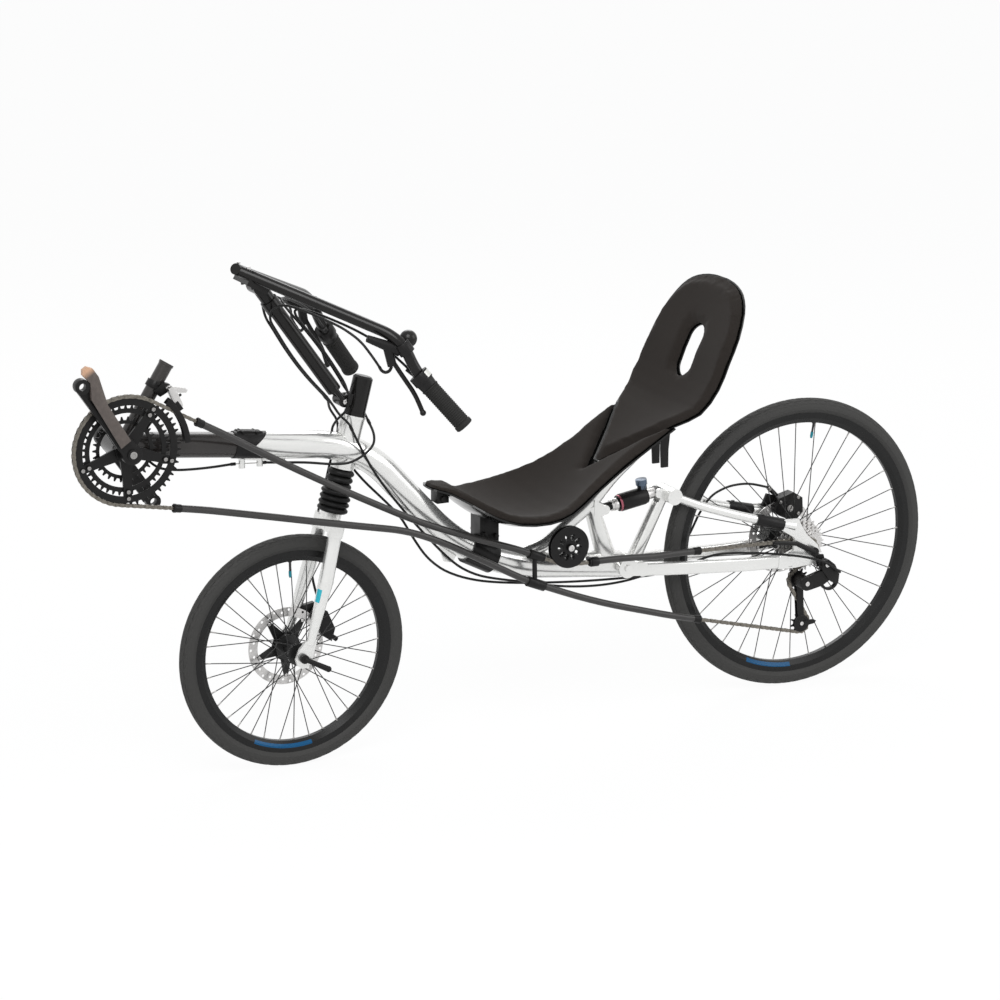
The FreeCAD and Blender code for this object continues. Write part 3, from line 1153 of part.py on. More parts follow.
# Two links on cross pins carry the cage, with a short arm that the shift cable pulls.
LINK = ((-260, 806), (-253, 811), (-246, 807), (-233, 776), (-236, 766), (-244, 768))
links_beside = [plate(LINK, *pair) for pair in ((-42, -36), (-28, -22.05))]
link_pins = [cylinder(6, (-253, -42, 803), (-253, -22.05, 803)), cylinder(7, (-240, -44, 773), (-240, -22.05, 773))]
pull_arm = plate(((-253, 809), (-224, 803), (-219, 799), (-222, 794), (-253, 797)), -34, -30)
cage_sides = [sector(cage_centre, 115, 126, 2, 47, RING_Y + side * CAGE_GAP - 0.8, RING_Y + side * CAGE_GAP + 0.8)
              for side in (-1, 1)]
cage_tail = sector(cage_centre, 122, 126, 2, 7, RING_Y - CAGE_GAP, RING_Y + CAGE_GAP)
cage_bridge = sector(cage_centre, 122, 128, 37.5, 47, RING_Y - CAGE_GAP, RING_Y + CAGE_GAP)
cage_foot = sector(cage_centre, 122, 136, 30, 38, RING_Y + CAGE_GAP - 0.8, -40)
sub_part(fuse(cage_sides + links_beside + link_pins + [pull_arm, cage_tail, cage_bridge, cage_foot]),
         "derailleur_cage")

# ---------------------------------------------------------------- hoses and cables
HOSE = dim("hose_dia")
mast_normal = mast_line.cross(ACROSS)


def by_mast(height, out, side):
    """A point beside the mast: its height above the pivot, how far ahead, and to one side."""
    spot = MAST_PIVOT + mast_line * height + mast_normal * out + ACROSS * side
    return tuple(spot)


def control_run(lever_end, out, low_run, side):
    """A hose or cable from one control along the handlebar's arm and down the mast."""
    down = [by_mast(height, out * bow, 8 * side) for height, bow in low_run]
    return [(x, y * side, z) for x, y, z in lever_end] + down


HOSE_END = ((104, 203, 846), (93, 200, 864), (80, 172, 892), (56, 142, 914), (26, 110, 930), (-4, 80, 944),
            (-27, 52, 950), (-40, 25, 938), (-40, 10, 914))
CABLE_END = ((163, 202, 838), (142, 184, 862), (110, 157, 890), (80, 134, 909), (50, 108, 924), (24, 76, 935),
             (8, 46, 938), (6, 24, 930), (16, 11, 914))
AHEAD_OF_MAST, BEHIND_MAST = 22, -24
# How high above the mast's pivot, and the share of the standing distance: the runs bow out a little.
HOSE_DOWN = ((203, 1.15), (163, 1.3), (120, 1.34), (77, 1.24), (34, 1))
CABLE_DOWN = ((170, 1.04), (124, 1.14), (78, 1.12), (34, 1))
# Rear brake hose, rear shift cable and front shift cable, from the head tube back or forward.
FRAME_CABLES = (
    ((118, -30, 690), (139, -32, 644), (163, -31, 599), (192, -27, 557), (223, -21, 518), (255, -18, 479),
     (289, -16, 440), (323, -16, 402), (360, -17, 367), (402, -17, 344), (449, -15, 330), (500, -14, 318),
     (550, -12, 304), (599, -10, 293), (649, -6, 285), (700, -3, 281), (750, 1, 281), (800, 10, 284), (847, 24, 288),
     (890, 33, 311), (922, 32, 352), (943, 29.5, 398), (974, 34, 432), (1025, 48, 443), (1076, 52, 442),
     (1124, 52, 427)),
    ((118, 32, 640), (142, 33, 596), (173, 29, 557), (207, 18, 521), (235, -6, 487), (253, -24, 446),
     (280, -28, 403), (317, -24, 370), (361, -16, 347), (408, -8, 330), (456, -4, 319), (506, -3, 311),
     (556, -3, 305), (606, -1, 299), (656, 1, 294), (706, 3, 290), (756, 1, 288), (805, -7, 288), (851, -20, 296),
     (892, -32, 311), (934, -50, 329), (982, -65, 330), (1031, -72, 325), (1080, -81, 318), (1129, -93, 310),
     (1175, -104, 296), (1212, -106, 268)),
    ((171, 6, 690), (179, -8, 664), (168, -31, 647), (142, -39, 630), (111, -37, 617), (76, -20, 616),
     (36, -6, 621), (-8, 0, 624.5), (-52, 0, 629.5)),
    ((-118, 0, 634), (-154, 0, 632.6), (-192, 1, 632.4), (-232, 3, 634), (-268, 11, 640), (-290, 32, 664),
     (-288, 34, 704), (-266, 24, 738), (-246, 4, 764), (-226, -15, 787)),
)
# Front brake hose, from the mast's foot down the far side to the caliper.
FORK_CABLES = (
    ((93, 20, 732), (104, 40, 712), (128, 50, 680), (122, 50, 640), (110, 54, 600), (98, 58, 545), (84, 64, 490),
     (74, 66, 440), (70, 68, 390), (74, 62, 346), (80, 48, 312)),
)
MAST_CABLES = [control_run(*plan, side) for side in (-1, 1)
               for plan in ((HOSE_END, AHEAD_OF_MAST, HOSE_DOWN), (CABLE_END, BEHIND_MAST, CABLE_DOWN))]
for name, routes in (("mast_cables", MAST_CABLES), ("frame_cables", FRAME_CABLES), ("fork_cable", FORK_CABLES)):
    sub_part(solid(Part.makeCompound([tube(points, HOSE) for points in routes]), name + "_sweeps"), name)
    for points in routes:
        radii = [corner_arc(*three)[1] for three in zip(points, points[1:], points[2:])]
        print(f"{name} bend radii: {', '.join(f'{radius:.0f}' for radius in radii)}")

# ---------------------------------------------------------------- checks and export
doc.recompute()
for obj in doc.Objects:
    if "Invalid" in obj.State or "Error" in obj.State:
        raise RuntimeError(f"{obj.Name} ({obj.Label}) did not build: {obj.State}")
for obj in SUB_PARTS:
    if obj.Shape.isNull() or not obj.Shape.isValid() or obj.Shape.Volume <= 0:
        raise RuntimeError(f"{obj.Label} has no valid solid")
os.makedirs("parts", exist_ok=True)
for obj in SUB_PARTS:
    obj.Shape.exportStep(f"parts/{obj.Label}.step")
    print(f"{obj.Label}: {len(obj.Shape.Solids)} solid(s), {obj.Shape.Volume / 1000:.1f} cm3")
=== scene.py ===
"""A short-wheelbase recumbent bicycle, dressed around its CAD frame."""
import bmesh
import bpy
import math
import numpy as np
from mathutils import Matrix


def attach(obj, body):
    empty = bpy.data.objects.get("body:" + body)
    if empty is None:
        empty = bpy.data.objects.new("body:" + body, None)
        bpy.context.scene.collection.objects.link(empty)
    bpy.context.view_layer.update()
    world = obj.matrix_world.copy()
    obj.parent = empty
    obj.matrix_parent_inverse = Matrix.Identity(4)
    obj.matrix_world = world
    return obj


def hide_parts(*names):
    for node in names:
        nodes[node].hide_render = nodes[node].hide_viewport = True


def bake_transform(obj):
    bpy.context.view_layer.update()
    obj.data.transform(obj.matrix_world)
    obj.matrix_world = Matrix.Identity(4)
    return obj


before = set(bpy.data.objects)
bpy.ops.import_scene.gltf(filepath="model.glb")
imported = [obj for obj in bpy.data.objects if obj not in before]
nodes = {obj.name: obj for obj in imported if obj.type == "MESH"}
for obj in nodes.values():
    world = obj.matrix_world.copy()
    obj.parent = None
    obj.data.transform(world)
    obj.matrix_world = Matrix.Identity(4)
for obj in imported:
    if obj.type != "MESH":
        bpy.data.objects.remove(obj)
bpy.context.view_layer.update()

# ---------------------------------------------------------------- camera, floor and light
# A long lens looks down on the bicycle from ahead and its chain side, over a white floor.
# The floor and the world show white to the lens and to reflections, and keep a soft shadow.
EYE = (-2.752, -5.472, 1.699)
YAW, DOWNWARD, ROLL = math.radians(26.36), math.radians(15.33), math.radians(0.04)
camera = bpy.data.objects.new("camera", bpy.data.cameras.new("camera"))
bpy.context.scene.collection.objects.link(camera)
camera.data.sensor_width = 36
camera.data.lens = 112.5
camera.data.clip_end = 200
camera.location = EYE
camera.rotation_euler = (Matrix.Rotation(-YAW, 3, "Z") @ Matrix.Rotation(math.pi / 2 - DOWNWARD, 3, "X")
                         @ Matrix.Rotation(ROLL, 3, "Z")).to_euler()
bpy.context.scene.camera = camera
bpy.context.scene.view_settings.view_transform = "Standard"

# The frame's origin is on the seat, this many millimetres behind the front axle and above the ground.
SEAT_BEHIND, SEAT_HEIGHT = 500, 467
GROUND = -SEAT_HEIGHT / 1000
FLOOR_REACH = 45


def seen_white(tree, through):
    """Gives 1 where a camera, glossy or transmission ray asks, times a share."""
    rays = tree.nodes.new("ShaderNodeLightPath")
    total = rays.outputs["Is Camera Ray"]
    for kind in ("Is Glossy Ray", "Is Transmission Ray"):
        add = tree.nodes.new("ShaderNodeMath")
        add.operation = "MAXIMUM"
        tree.links.new(total, add.inputs[0])
        tree.links.new(rays.outputs[kind], add.inputs[1])
        total = add.outputs[0]
    share = tree.nodes.new("ShaderNodeMath")
    share.operation = "MULTIPLY"
    share.inputs[1].default_value = through
    tree.links.new(total, share.inputs[0])
    return share.outputs[0]


world = bpy.data.worlds.new("white_room")
bpy.context.scene.world = world
world.use_nodes = True
tree = world.node_tree
tree.nodes.clear()
lit, white, mix, out = (tree.nodes.new(kind) for kind in ("ShaderNodeBackground", "ShaderNodeBackground",
                                                         "ShaderNodeMixShader", "ShaderNodeOutputWorld"))
lit.inputs["Color"].default_value = (0.96, 0.98, 1, 1)
lit.inputs["Strength"].default_value = 0.62
white.inputs["Color"].default_value = (1, 1, 1, 1)
white.inputs["Strength"].default_value = 1
tree.links.new(seen_white(tree, 1), mix.inputs["Fac"])
tree.links.new(lit.outputs[0], mix.inputs[1])
tree.links.new(white.outputs[0], mix.inputs[2])
tree.links.new(mix.outputs[0], out.inputs[0])

floor = bpy.data.objects.new("floor", bpy.data.meshes.new("floor"))
bpy.context.scene.collection.objects.link(floor)
floor.data.from_pydata([(FLOOR_REACH * x, FLOOR_REACH * y, GROUND) for x, y in ((-1, -1), (1, -1), (1, 1), (-1, 1))],
                       [], [(0, 1, 2, 3)])
sheet_white = bpy.data.materials.new("floor_white")
sheet_white.use_nodes = True
tree = sheet_white.node_tree
tree.nodes.clear()
matt, glow, mix, out = (tree.nodes.new(kind) for kind in ("ShaderNodeBsdfDiffuse", "ShaderNodeEmission",
                                                         "ShaderNodeMixShader", "ShaderNodeOutputMaterial"))
matt.inputs["Color"].default_value = (0.9, 0.9, 0.9, 1)
tree.links.new(seen_white(tree, 0.94), mix.inputs["Fac"])
tree.links.new(matt.outputs[0], mix.inputs[1])
tree.links.new(glow.outputs[0], mix.inputs[2])
tree.links.new(mix.outputs[0], out.inputs[0])
floor.data.materials.append(sheet_white)

# Each lamp's name, its place and size in metres, and its power in watts; all look at the seat.
for name, place, size, watts in (("key", (-1.6, -2.6, 3.4), 2.6, 120), ("fill", (2.8, -2.2, 1.8), 2.2, 34),
                                 ("rim", (1.2, 3.2, 2.8), 2.4, 60)):
    lamp = bpy.data.lights.new(name, "AREA")
    lamp.size = size
    lamp.energy = watts
    holder = bpy.data.objects.new(name, lamp)
    bpy.context.scene.collection.objects.link(holder)
    holder.location = place
    holder.rotation_euler = (-holder.location).to_track_quat("-Z", "Y").to_euler()

# ---------------------------------------------------------------- frame tubes
# Bent and welded aluminium tubes, brushed along their length and clear coated.
# The main tube, the seat arch and the swinging rear arm share the finish.


def finish(name, colour, metallic=0.0, rough=(0.3, 0.4), grain=(60, 60, 60), spread=0.15, bump=0.05, coat=0.0,
           coat_rough=0.1, sheen=0.0, fine=900, shine=0.5):
    """A surface whose colour and roughness wander with noise, over a fine bump.

    Colour runs from (1 - spread) to 1 times the given one; grain is the noise's scale per axis.
    """
    made = bpy.data.materials.new(name)
    made.use_nodes = True
    tree = made.node_tree
    shader = tree.nodes["Principled BSDF"]
    place = tree.nodes.new("ShaderNodeTexCoord")
    stretch = tree.nodes.new("ShaderNodeMapping")
    stretch.inputs["Scale"].default_value = grain
    tree.links.new(place.outputs["Object"], stretch.inputs["Vector"])
    noise = tree.nodes.new("ShaderNodeTexNoise")
    noise.inputs["Scale"].default_value = 1
    noise.inputs["Detail"].default_value = 6
    tree.links.new(stretch.outputs[0], noise.inputs["Vector"])
    ramp = tree.nodes.new("ShaderNodeMix")
    ramp.data_type = "RGBA"
    ramp.inputs["A"].default_value = (*(c * (1 - spread) for c in colour), 1)
    ramp.inputs["B"].default_value = (*colour, 1)
    tree.links.new(noise.outputs["Fac"], ramp.inputs["Factor"])
    tree.links.new(ramp.outputs["Result"], shader.inputs["Base Color"])
    span = tree.nodes.new("ShaderNodeMapRange")
    span.inputs["To Min"].default_value, span.inputs["To Max"].default_value = rough
    tree.links.new(noise.outputs["Fac"], span.inputs["Value"])
    tree.links.new(span.outputs[0], shader.inputs["Roughness"])
    tiny = tree.nodes.new("ShaderNodeTexNoise")
    tiny.inputs["Scale"].default_value = fine
    tree.links.new(place.outputs["Object"], tiny.inputs["Vector"])
    raised = tree.nodes.new("ShaderNodeBump")
    raised.inputs["Strength"].default_value = bump
    raised.inputs["Distance"].default_value = 0.0004
    tree.links.new(tiny.outputs["Fac"], raised.inputs["Height"])
    tree.links.new(raised.outputs[0], shader.inputs["Normal"])
    shader.inputs["Metallic"].default_value = metallic
    shader.inputs["Coat Weight"].default_value = coat
    shader.inputs["Coat Roughness"].default_value = coat_rough
    shader.inputs["Sheen Weight"].default_value = sheen
    shader.inputs["Specular IOR Level"].default_value = shine
    return made


def dress(material, *names):
    """Gives CAD nodes a material in their own slots."""
    for name in names:
        mesh = nodes[name].data
        mesh.materials.clear()
        mesh.materials.append(material)


def spot(x, y, z):
    """A place in metres, from millimetres behind the front axle, off the middle plane and above the ground."""
    return np.array([(x - SEAT_BEHIND) / 1000, y / 1000, (z - SEAT_HEIGHT) / 1000])


silver = finish("brushed_silver", (0.80, 0.80, 0.785), metallic=0.8, rough=(0.2, 0.3), grain=(9, 70, 70),
                spread=0.07, bump=0.02, coat=0.4, coat_rough=0.06, fine=500)
dress(silver, "main_frame", "seat_arch", "swing_arm", "fork_crown", "fork_legs")

# ---------------------------------------------------------------- boom and its clamp
# A gloss black anodised tube slides in the frame's front end, with the crank shell welded on.
# A split black clamp with two bolts holds it.
gloss_black = finish("gloss_black", (0.0085, 0.0078, 0.0075), rough=(0.2, 0.3), grain=(12, 60, 60),
                     spread=0.4, bump=0.02, coat=0.12, coat_rough=0.05, shine=0.2)
# Lighter and browner than the gloss black: a painted sheen for the pale reflected band under the boom.
boom_sheen_black = finish("boom_sheen_black", (0.024, 0.0205, 0.019), rough=(0.22, 0.32), grain=(12, 60, 60), spread=0.35,
                    bump=0.02, coat=0.2, coat_rough=0.05, shine=0.4)
dress(boom_sheen_black, "boom")
satin_black = finish("satin_black", (0.0095, 0.009, 0.009), rough=(0.3, 0.48), grain=(90, 90, 90),
                     spread=0.5, bump=0.08, shine=0.22)


def eased(node, body, material, edge=0.0007):
    """A copy of a CAD node with its sharp edges rounded over, which then stands for it."""
    mesh = nodes[node].data.copy()
    shell = bmesh.new()
    shell.from_mesh(mesh)
    bmesh.ops.remove_doubles(shell, verts=shell.verts, dist=0.00001)
    bmesh.ops.dissolve_limit(shell, angle_limit=math.radians(1), verts=shell.verts, edges=shell.edges)
    shell.to_mesh(mesh)
    shell.free()
    mesh.materials.clear()
    mesh.materials.append(material)
    mesh.shade_smooth()
    piece = bpy.data.objects.new(node + "_eased", mesh)
    bpy.context.scene.collection.objects.link(piece)
    rounding = piece.modifiers.new("edges", "BEVEL")
    rounding.width = edge
    rounding.segments = 2
    rounding.limit_method = "ANGLE"
    rounding.angle_limit = math.radians(40)
    rounding.use_clamp_overlap = True
    rounding.harden_normals = True
    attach(piece, body)
    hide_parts(node)
    return piece


eased("boom_clamp", "frame", satin_black)

# ---------------------------------------------------------------- fork boots
# Two moulded rubber bellows round the steerer, each rib a full round fold.
# They slip over the steerer and close on a plain collar at each end.


def build(name, vertices, faces, material, body, slot_name, sharp=50):
    """A mesh piece from arrays of points and faces, riding on a body."""
    mesh = bpy.data.meshes.new(name)
    mesh.from_pydata(vertices.reshape(-1, 3).tolist(), [], [tuple(int(i) for i in f) for f in faces])
    mesh.materials.append(material)
    mesh.shade_smooth()
    mesh.set_sharp_from_angle(angle=math.radians(sharp))
    piece = bpy.data.objects.new(name, mesh)
    bpy.context.scene.collection.objects.link(piece)
    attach(piece, body)
    return piece


def woven(rows, columns, around_rows, around_columns, start=0):
    """Quads over a grid of points, joined up round its rows or its columns where asked."""
    i, j = np.meshgrid(np.arange(rows if around_rows else rows - 1),
                       np.arange(columns if around_columns else columns - 1), indexing="ij")
    below, beside = (i + 1) % rows, (j + 1) % columns
    quads = np.stack([i * columns + j, below * columns + j, below * columns + beside, i * columns + beside], -1)
    return quads.reshape(-1, 4) + start


def slab(outer, inner):
    """One grid of points laid over another like it, closed round their edges into a thin solid."""
    ring = np.concatenate([outer, inner[:, ::-1]], axis=1)
    rows, columns = ring.shape[:2]
    j = np.arange(columns // 2 - 1)
    end = np.stack([j, j + 1, columns - 2 - j, columns - 1 - j], -1)
    return ring, np.concatenate([woven(rows, columns, False, True), end, end[:, ::-1] + (rows - 1) * columns])


def turned(profile, centre, axis, segments):
    """Points of a profile of (radius, distance) pairs turned about a line, and its quads."""
    axis = np.array(axis, float) / np.linalg.norm(axis)
    across = np.cross(axis, [0, 1, 0] if abs(axis[1]) < 0.9 else [1, 0, 0])
    across /= np.linalg.norm(across)
    up = np.cross(axis, across)
    angle = np.linspace(0, 2 * np.pi, segments, endpoint=False)[:, None, None]
    radius, along = np.array(profile, float).T[:, None, :, None]
    points = np.array(centre) + radius * (np.cos(angle) * across + np.sin(angle) * up) + along * axis
    return points, woven(segments, len(profile), True, True)


def joined(parts):
    """One set of points and faces from several."""
    points, faces, count = [], [], 0
    for some, quads in parts:
        some = some.reshape(-1, 3)
        faces += [tuple(int(i) + count for i in q) for q in quads]
        points.append(some)
        count += len(some)
    return np.concatenate(points), faces


# The steering's line: its slope, a place on it, and the way down along it.
LEAN = math.radians(75)
HEAD = spot(140, 0, 704)
DOWN_HEAD = -np.array([math.cos(LEAN), 0, math.sin(LEAN)])
boot_rubber = finish("boot_rubber", (0.009, 0.009, 0.009), rough=(0.42, 0.58), spread=0.4, bump=0.12, shine=0.2)
FOLD_DEPTH, FOLD_ROUND, FOLD_STEPS = 6.5, 0.7, 16
BOOT_BORE = 0.0127
boots = []
# Each boot's top and bottom, in millimetres down the steerer's line, its outer radius and its ribs.
for top, bottom, wide, ribs in ((110, 150, 27, 3), (150.2, 197.5, 31, 4)):
    t = np.linspace(0, 1, ribs * FOLD_STEPS + 1)
    fold = np.abs(np.sin(np.pi * ribs * t)) ** FOLD_ROUND
    outer = np.stack([(wide - FOLD_DEPTH + FOLD_DEPTH * fold) / 1000, (top + (bottom - top) * t) / 1000], -1)
    inner = np.array([[BOOT_BORE, bottom / 1000], [BOOT_BORE, top / 1000]])
    boots.append(turned(np.concatenate([outer, inner]), HEAD, DOWN_HEAD, 64))
bellows = build("fork_bellows", *joined(boots), boot_rubber, "steering", "grip_rubber")
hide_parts("fork_boots")

# ---------------------------------------------------------------- tyres
# Round road tyres with a plain centre rib, chevron blocks beside it and smooth sidewalls.
# Moulded black rubber, seated in the rims' hooks.
tyre_rubber = finish("tyre_rubber", (0.031, 0.0302, 0.0285), rough=(0.62, 0.8), spread=0.35, bump=0.25, fine=2600)
FRONT_AXLE, REAR_AXLE = spot(0, 0, 238), spot(1159, 0, 314.5)
# Millimetres: the round casing's radius, the tread's and the grooves' depth, the casing's middle and
# foot above the bead, half the foot's width, the sidewall's raised line and the wall's swell.
CASING, TREAD_DEPTH, GROOVE_DEPTH, MIDDLE_ABOVE, FOOT_ABOVE, HALF_FOOT = 16.4, 1.3, 1.1, 17.6, 1.5, 8
RIDGE_HEIGHT, WALL_SWELL = 0.3, 0.5
# Angles round the casing from its crown: where the tread starts to fall and where it ends, the two
# rings, and the raised line. The grooves' slant is in blocks to an angle of 1.
TREAD_SHOULDER, TREAD_EDGE, INNER_RING, OUTER_RING, RIDGE_AT, SLANT = 1.0, 1.12, 0.17, 0.66, 1.8, 1.3
# Each pair is where a smooth rise starts and ends: across a slanted groove as a share of a block,
# at the plain centre rib's edge, across a ring's edge, and up the sidewall.
GROOVE_RISE, RIB_RISE, RING_RISE, WALL_RISE = (0.66, 0.86), (0.14, 0.2), (0.02, 0.05), (1.3, 1.9)
STEPS_PER_BLOCK = 12


def step_up(value, low, high):
    """0 below low and 1 above high, with a smooth rise between."""
    t = np.clip((value - low) / (high - low), 0, 1)
    return t * t * (3 - 2 * t)


def line_at(theta, middle, inner, outer):
    """1 on a line at an angle either side of the tyre's crown, and 0 beyond the outer distance from it."""
    return 1 - step_up(np.abs(np.abs(theta) - middle), inner, outer)


def tyre(name, node, bead, axle, blocks, body):
    """A casing of radius CASING swept round the axle, its tread raised where the pattern says.

    Height = the tread's depth inside its edges, less the grooves' depth in the slanted grooves and in
    the two rings on each side; the sidewall swells a little and has one raised line. bead is the
    radius of the bead's seat in millimetres, and blocks counts the tread's blocks round the tyre.
    """
    tread = np.linspace(-TREAD_EDGE, TREAD_EDGE, 45)
    wall = np.array([-2.62, -2.45, -2.25, -2.0, -1.85, -1.8, -1.75, -1.6, -1.5, -1.45, -1.4, -1.28])
    theta = np.concatenate([wall, tread, -wall[::-1]])[None, :]
    angle = np.linspace(0, 2 * np.pi, blocks * STEPS_PER_BLOCK, endpoint=False)[:, None]
    slanted = np.abs(((angle * blocks / (2 * np.pi) + np.abs(theta) * SLANT) % 1) - 0.5) * 2
    groove = step_up(slanted, *GROOVE_RISE) * step_up(np.abs(theta), *RIB_RISE)
    rings = np.maximum(line_at(theta, INNER_RING, *RING_RISE), line_at(theta, OUTER_RING, *RING_RISE))
    inside = 1 - step_up(np.abs(theta), TREAD_SHOULDER, TREAD_EDGE)
    height = inside * (TREAD_DEPTH - GROOVE_DEPTH * np.maximum(groove, rings))
    ridges = RIDGE_HEIGHT * line_at(theta, RIDGE_AT, 0.0, RING_RISE[1]) * np.ones_like(angle)
    size = (CASING + height + ridges + WALL_SWELL * step_up(np.abs(theta), *WALL_RISE)) / 1000
    radius = (bead + MIDDLE_ABOVE) / 1000 + size * np.cos(theta)
    points = np.stack([radius * np.cos(angle), size * np.sin(theta), radius * np.sin(angle)], -1)
    foot = (bead + FOOT_ABOVE) / 1000
    feet = [np.stack([foot * np.cos(angle), np.full_like(angle, side * HALF_FOOT / 1000), foot * np.sin(angle)], -1)
            for side in (1, -1)]
    points = np.concatenate([points, *feet], 1) + axle
    quads = woven(points.shape[0], points.shape[1], True, True)[:, ::-1]
    piece = build(name, points, quads, tyre_rubber, body, "tyre_rubber", 40)
    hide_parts(node)


tyre("front_tyre_treaded", "front_tyre", 203, FRONT_AXLE, 60, "front_wheel")
tyre("rear_tyre_treaded", "rear_tyre", 279.5, REAR_AXLE, 78, "rear_wheel")

# ---------------------------------------------------------------- rims, hubs and rotors
# Black anodised box rims with one plain blue mark each, black spokes and hubs, and ground
# stainless rotors on black five-armed carriers.


def marked(material, axle, span, reach, colour):
    """Paints a plain mark on a turned part between two angles and two radii about its axle."""
    tree = material.node_tree
    shader = tree.nodes["Principled BSDF"]
    place = tree.nodes.new("ShaderNodeTexCoord")
    centre = tree.nodes.new("ShaderNodeVectorMath")
    centre.operation = "SUBTRACT"
    centre.inputs[1].default_value = axle
    tree.links.new(place.outputs["Object"], centre.inputs[0])
    split = tree.nodes.new("ShaderNodeSeparateXYZ")
    tree.links.new(centre.outputs[0], split.inputs[0])
    flat = tree.nodes.new("ShaderNodeCombineXYZ")
    tree.links.new(split.outputs["X"], flat.inputs["X"])
    tree.links.new(split.outputs["Z"], flat.inputs["Z"])
    radius = tree.nodes.new("ShaderNodeVectorMath")
    radius.operation = "LENGTH"
    tree.links.new(flat.outputs[0], radius.inputs[0])
    turn = tree.nodes.new("ShaderNodeMath")
    turn.operation = "ARCTAN2"
    tree.links.new(split.outputs["Z"], turn.inputs[0])
    tree.links.new(split.outputs["X"], turn.inputs[1])
    both = tree.nodes.new("ShaderNodeMath")
    both.operation = "MULTIPLY"
    for i, (value, low, high) in enumerate(((turn.outputs[0], *(math.radians(a) for a in span)),
                                            (radius.outputs["Value"], *reach))):
        near = tree.nodes.new("ShaderNodeMath")
        near.operation = "COMPARE"
        near.inputs[1].default_value = (low + high) / 2
        near.inputs[2].default_value = (high - low) / 2
        tree.links.new(value, near.inputs[0])
        tree.links.new(near.outputs[0], both.inputs[i])
    base = shader.inputs["Base Color"].links[0].from_socket
    mix = tree.nodes.new("ShaderNodeMix")
    mix.data_type = "RGBA"
    mix.inputs["B"].default_value = (*colour, 1)
    tree.links.new(both.outputs[0], mix.inputs["Factor"])
    tree.links.new(base, mix.inputs["A"])
    tree.links.new(mix.outputs["Result"], shader.inputs["Base Color"])


BLUE = (0.001, 0.07, 0.18)
# Each rim with its axle, and its mark's two angles in degrees and two radii in metres.
for node, axle, span, reach in (("front_rim", FRONT_AXLE, (-117, -80), (0.1915, 0.1995)),
                                ("rear_rim", REAR_AXLE, (-115.5, -91.5), (0.266, 0.2745))):
    rim_black = finish(node + "_black", (0.012, 0.012, 0.012), rough=(0.22, 0.34), grain=(60, 60, 60),
                       spread=0.3, bump=0.03, shine=0.2)
    marked(rim_black, axle, span, reach, BLUE)
    dress(rim_black, node)
spoke_black = finish("spoke_black", (0.012, 0.012, 0.012), rough=(0.25, 0.4), spread=0.3, bump=0.05, shine=0.4)
dress(spoke_black, "front_hub", "rear_hub")
bright_steel = finish("bright_steel", (0.72, 0.71, 0.7), metallic=1, rough=(0.25, 0.4), grain=(300, 300, 300),
                      spread=0.25, bump=0.1)
dress(bright_steel, "front_rotor", "rear_rotor", "cassette")
dull_steel = finish("dull_steel", (0.42, 0.41, 0.4), metallic=1, rough=(0.3, 0.5), grain=(300, 300, 300), spread=0.3,
                    bump=0.1)
valve_cyan = finish("valve_cyan", (0.01, 0.22, 0.28), rough=(0.3, 0.45), spread=0.25, bump=0.03, shine=0.3)
# Profiles are pairs in metres: a radius, and a distance along the piece's own line.
NIPPLE = ((0.0019, 0), (0.0019, 0.0035), (0.0015, 0.0042), (0.0014, 0.0125), (0.0011, 0.0125), (0.0011, 0))
VALVE = ((0.0042, 0), (0.0042, 0.0025), (0.0027, 0.0035), (0.0024, 0.004), (0.0022, 0.021), (0.0001, 0.021),
         (0.0001, 0))
VALVE_CAP = ((0.0023, 0.0212), (0.0031, 0.0214), (0.0031, 0.030), (0.0022, 0.0345), (0.0001, 0.035), (0.0001, 0.0212))
# A spoke meets its flange this angle round from its nipple, and lies this far to one side at the
# flange, where spokes cross, and at the rim. The valve's foot is sunk in the rim's bed.
SPOKES, SPOKE_LEAD, CROSSING, STAGGER, VALVE_SUNK = 36, math.radians(62), 0.0014, 0.002, 0.001
# Each wheel's axle, its flanges' radius and places across, its rim bed's radius, and its valve's angle.
for body, axle, flange, flange_y, bed, valve_at in (("front_wheel", FRONT_AXLE, 0.019, (-0.028, 0.026), 0.187, 90.7),
                                                    ("rear_wheel", REAR_AXLE, 0.021, (-0.014, 0.033), 0.2635, 80.5)):
    nipples = []
    for i in range(SPOKES):
        side, lead, at_rim = (1 if i % 2 else -1), (1 if (i // 2) % 2 else -1), 2 * math.pi * i / SPOKES
        at_hub = at_rim + lead * SPOKE_LEAD
        inner = np.array([flange * math.cos(at_hub), flange_y[i % 2] + CROSSING * lead, flange * math.sin(at_hub)])
        outer = np.array([bed * math.cos(at_rim), STAGGER * side, bed * math.sin(at_rim)])
        nipples.append(turned(NIPPLE, axle + outer, inner - outer, 8))
    build(body + "_nipples", *joined(nipples), dull_steel, body, "steel")
    toward = -np.array([math.cos(math.radians(valve_at)), 0, math.sin(math.radians(valve_at))])
    foot = axle - toward * (bed - VALVE_SUNK)
    build(body + "_valve", *joined([turned(VALVE, foot, toward, 20)]), spoke_black, body, "black_alloy")
    build(body + "_valve_cap", *joined([turned(VALVE_CAP, foot, toward, 20)]), valve_cyan, body, "black_alloy")

# ---------------------------------------------------------------- chain
# A roller chain: waisted side plates on pins, with a roller on each pin.
# Bright oiled steel, in three runs between its guide tubes.
chain_steel = finish("chain_steel", (0.34, 0.315, 0.275), metallic=1, rough=(0.3, 0.5), grain=(230, 230, 230),
                     spread=0.85, bump=0.1)
PITCH, END_RADIUS, PLATE_HALF = 0.0127, 0.0041, 0.00045
# The waist's depth as a share of the plate's height, its reach along the plate, and how steeply the
# outline leaves the middle.
WAIST, WAIST_REACH, STEEPNESS = 0.30, 0.0035, 1.9
# The chain's two lines lie at these distances from the middle plane; a plate belongs to the nearer one.
NEAR_LINE, FAR_LINE, BETWEEN_LINES = -0.058, -0.050, -0.054
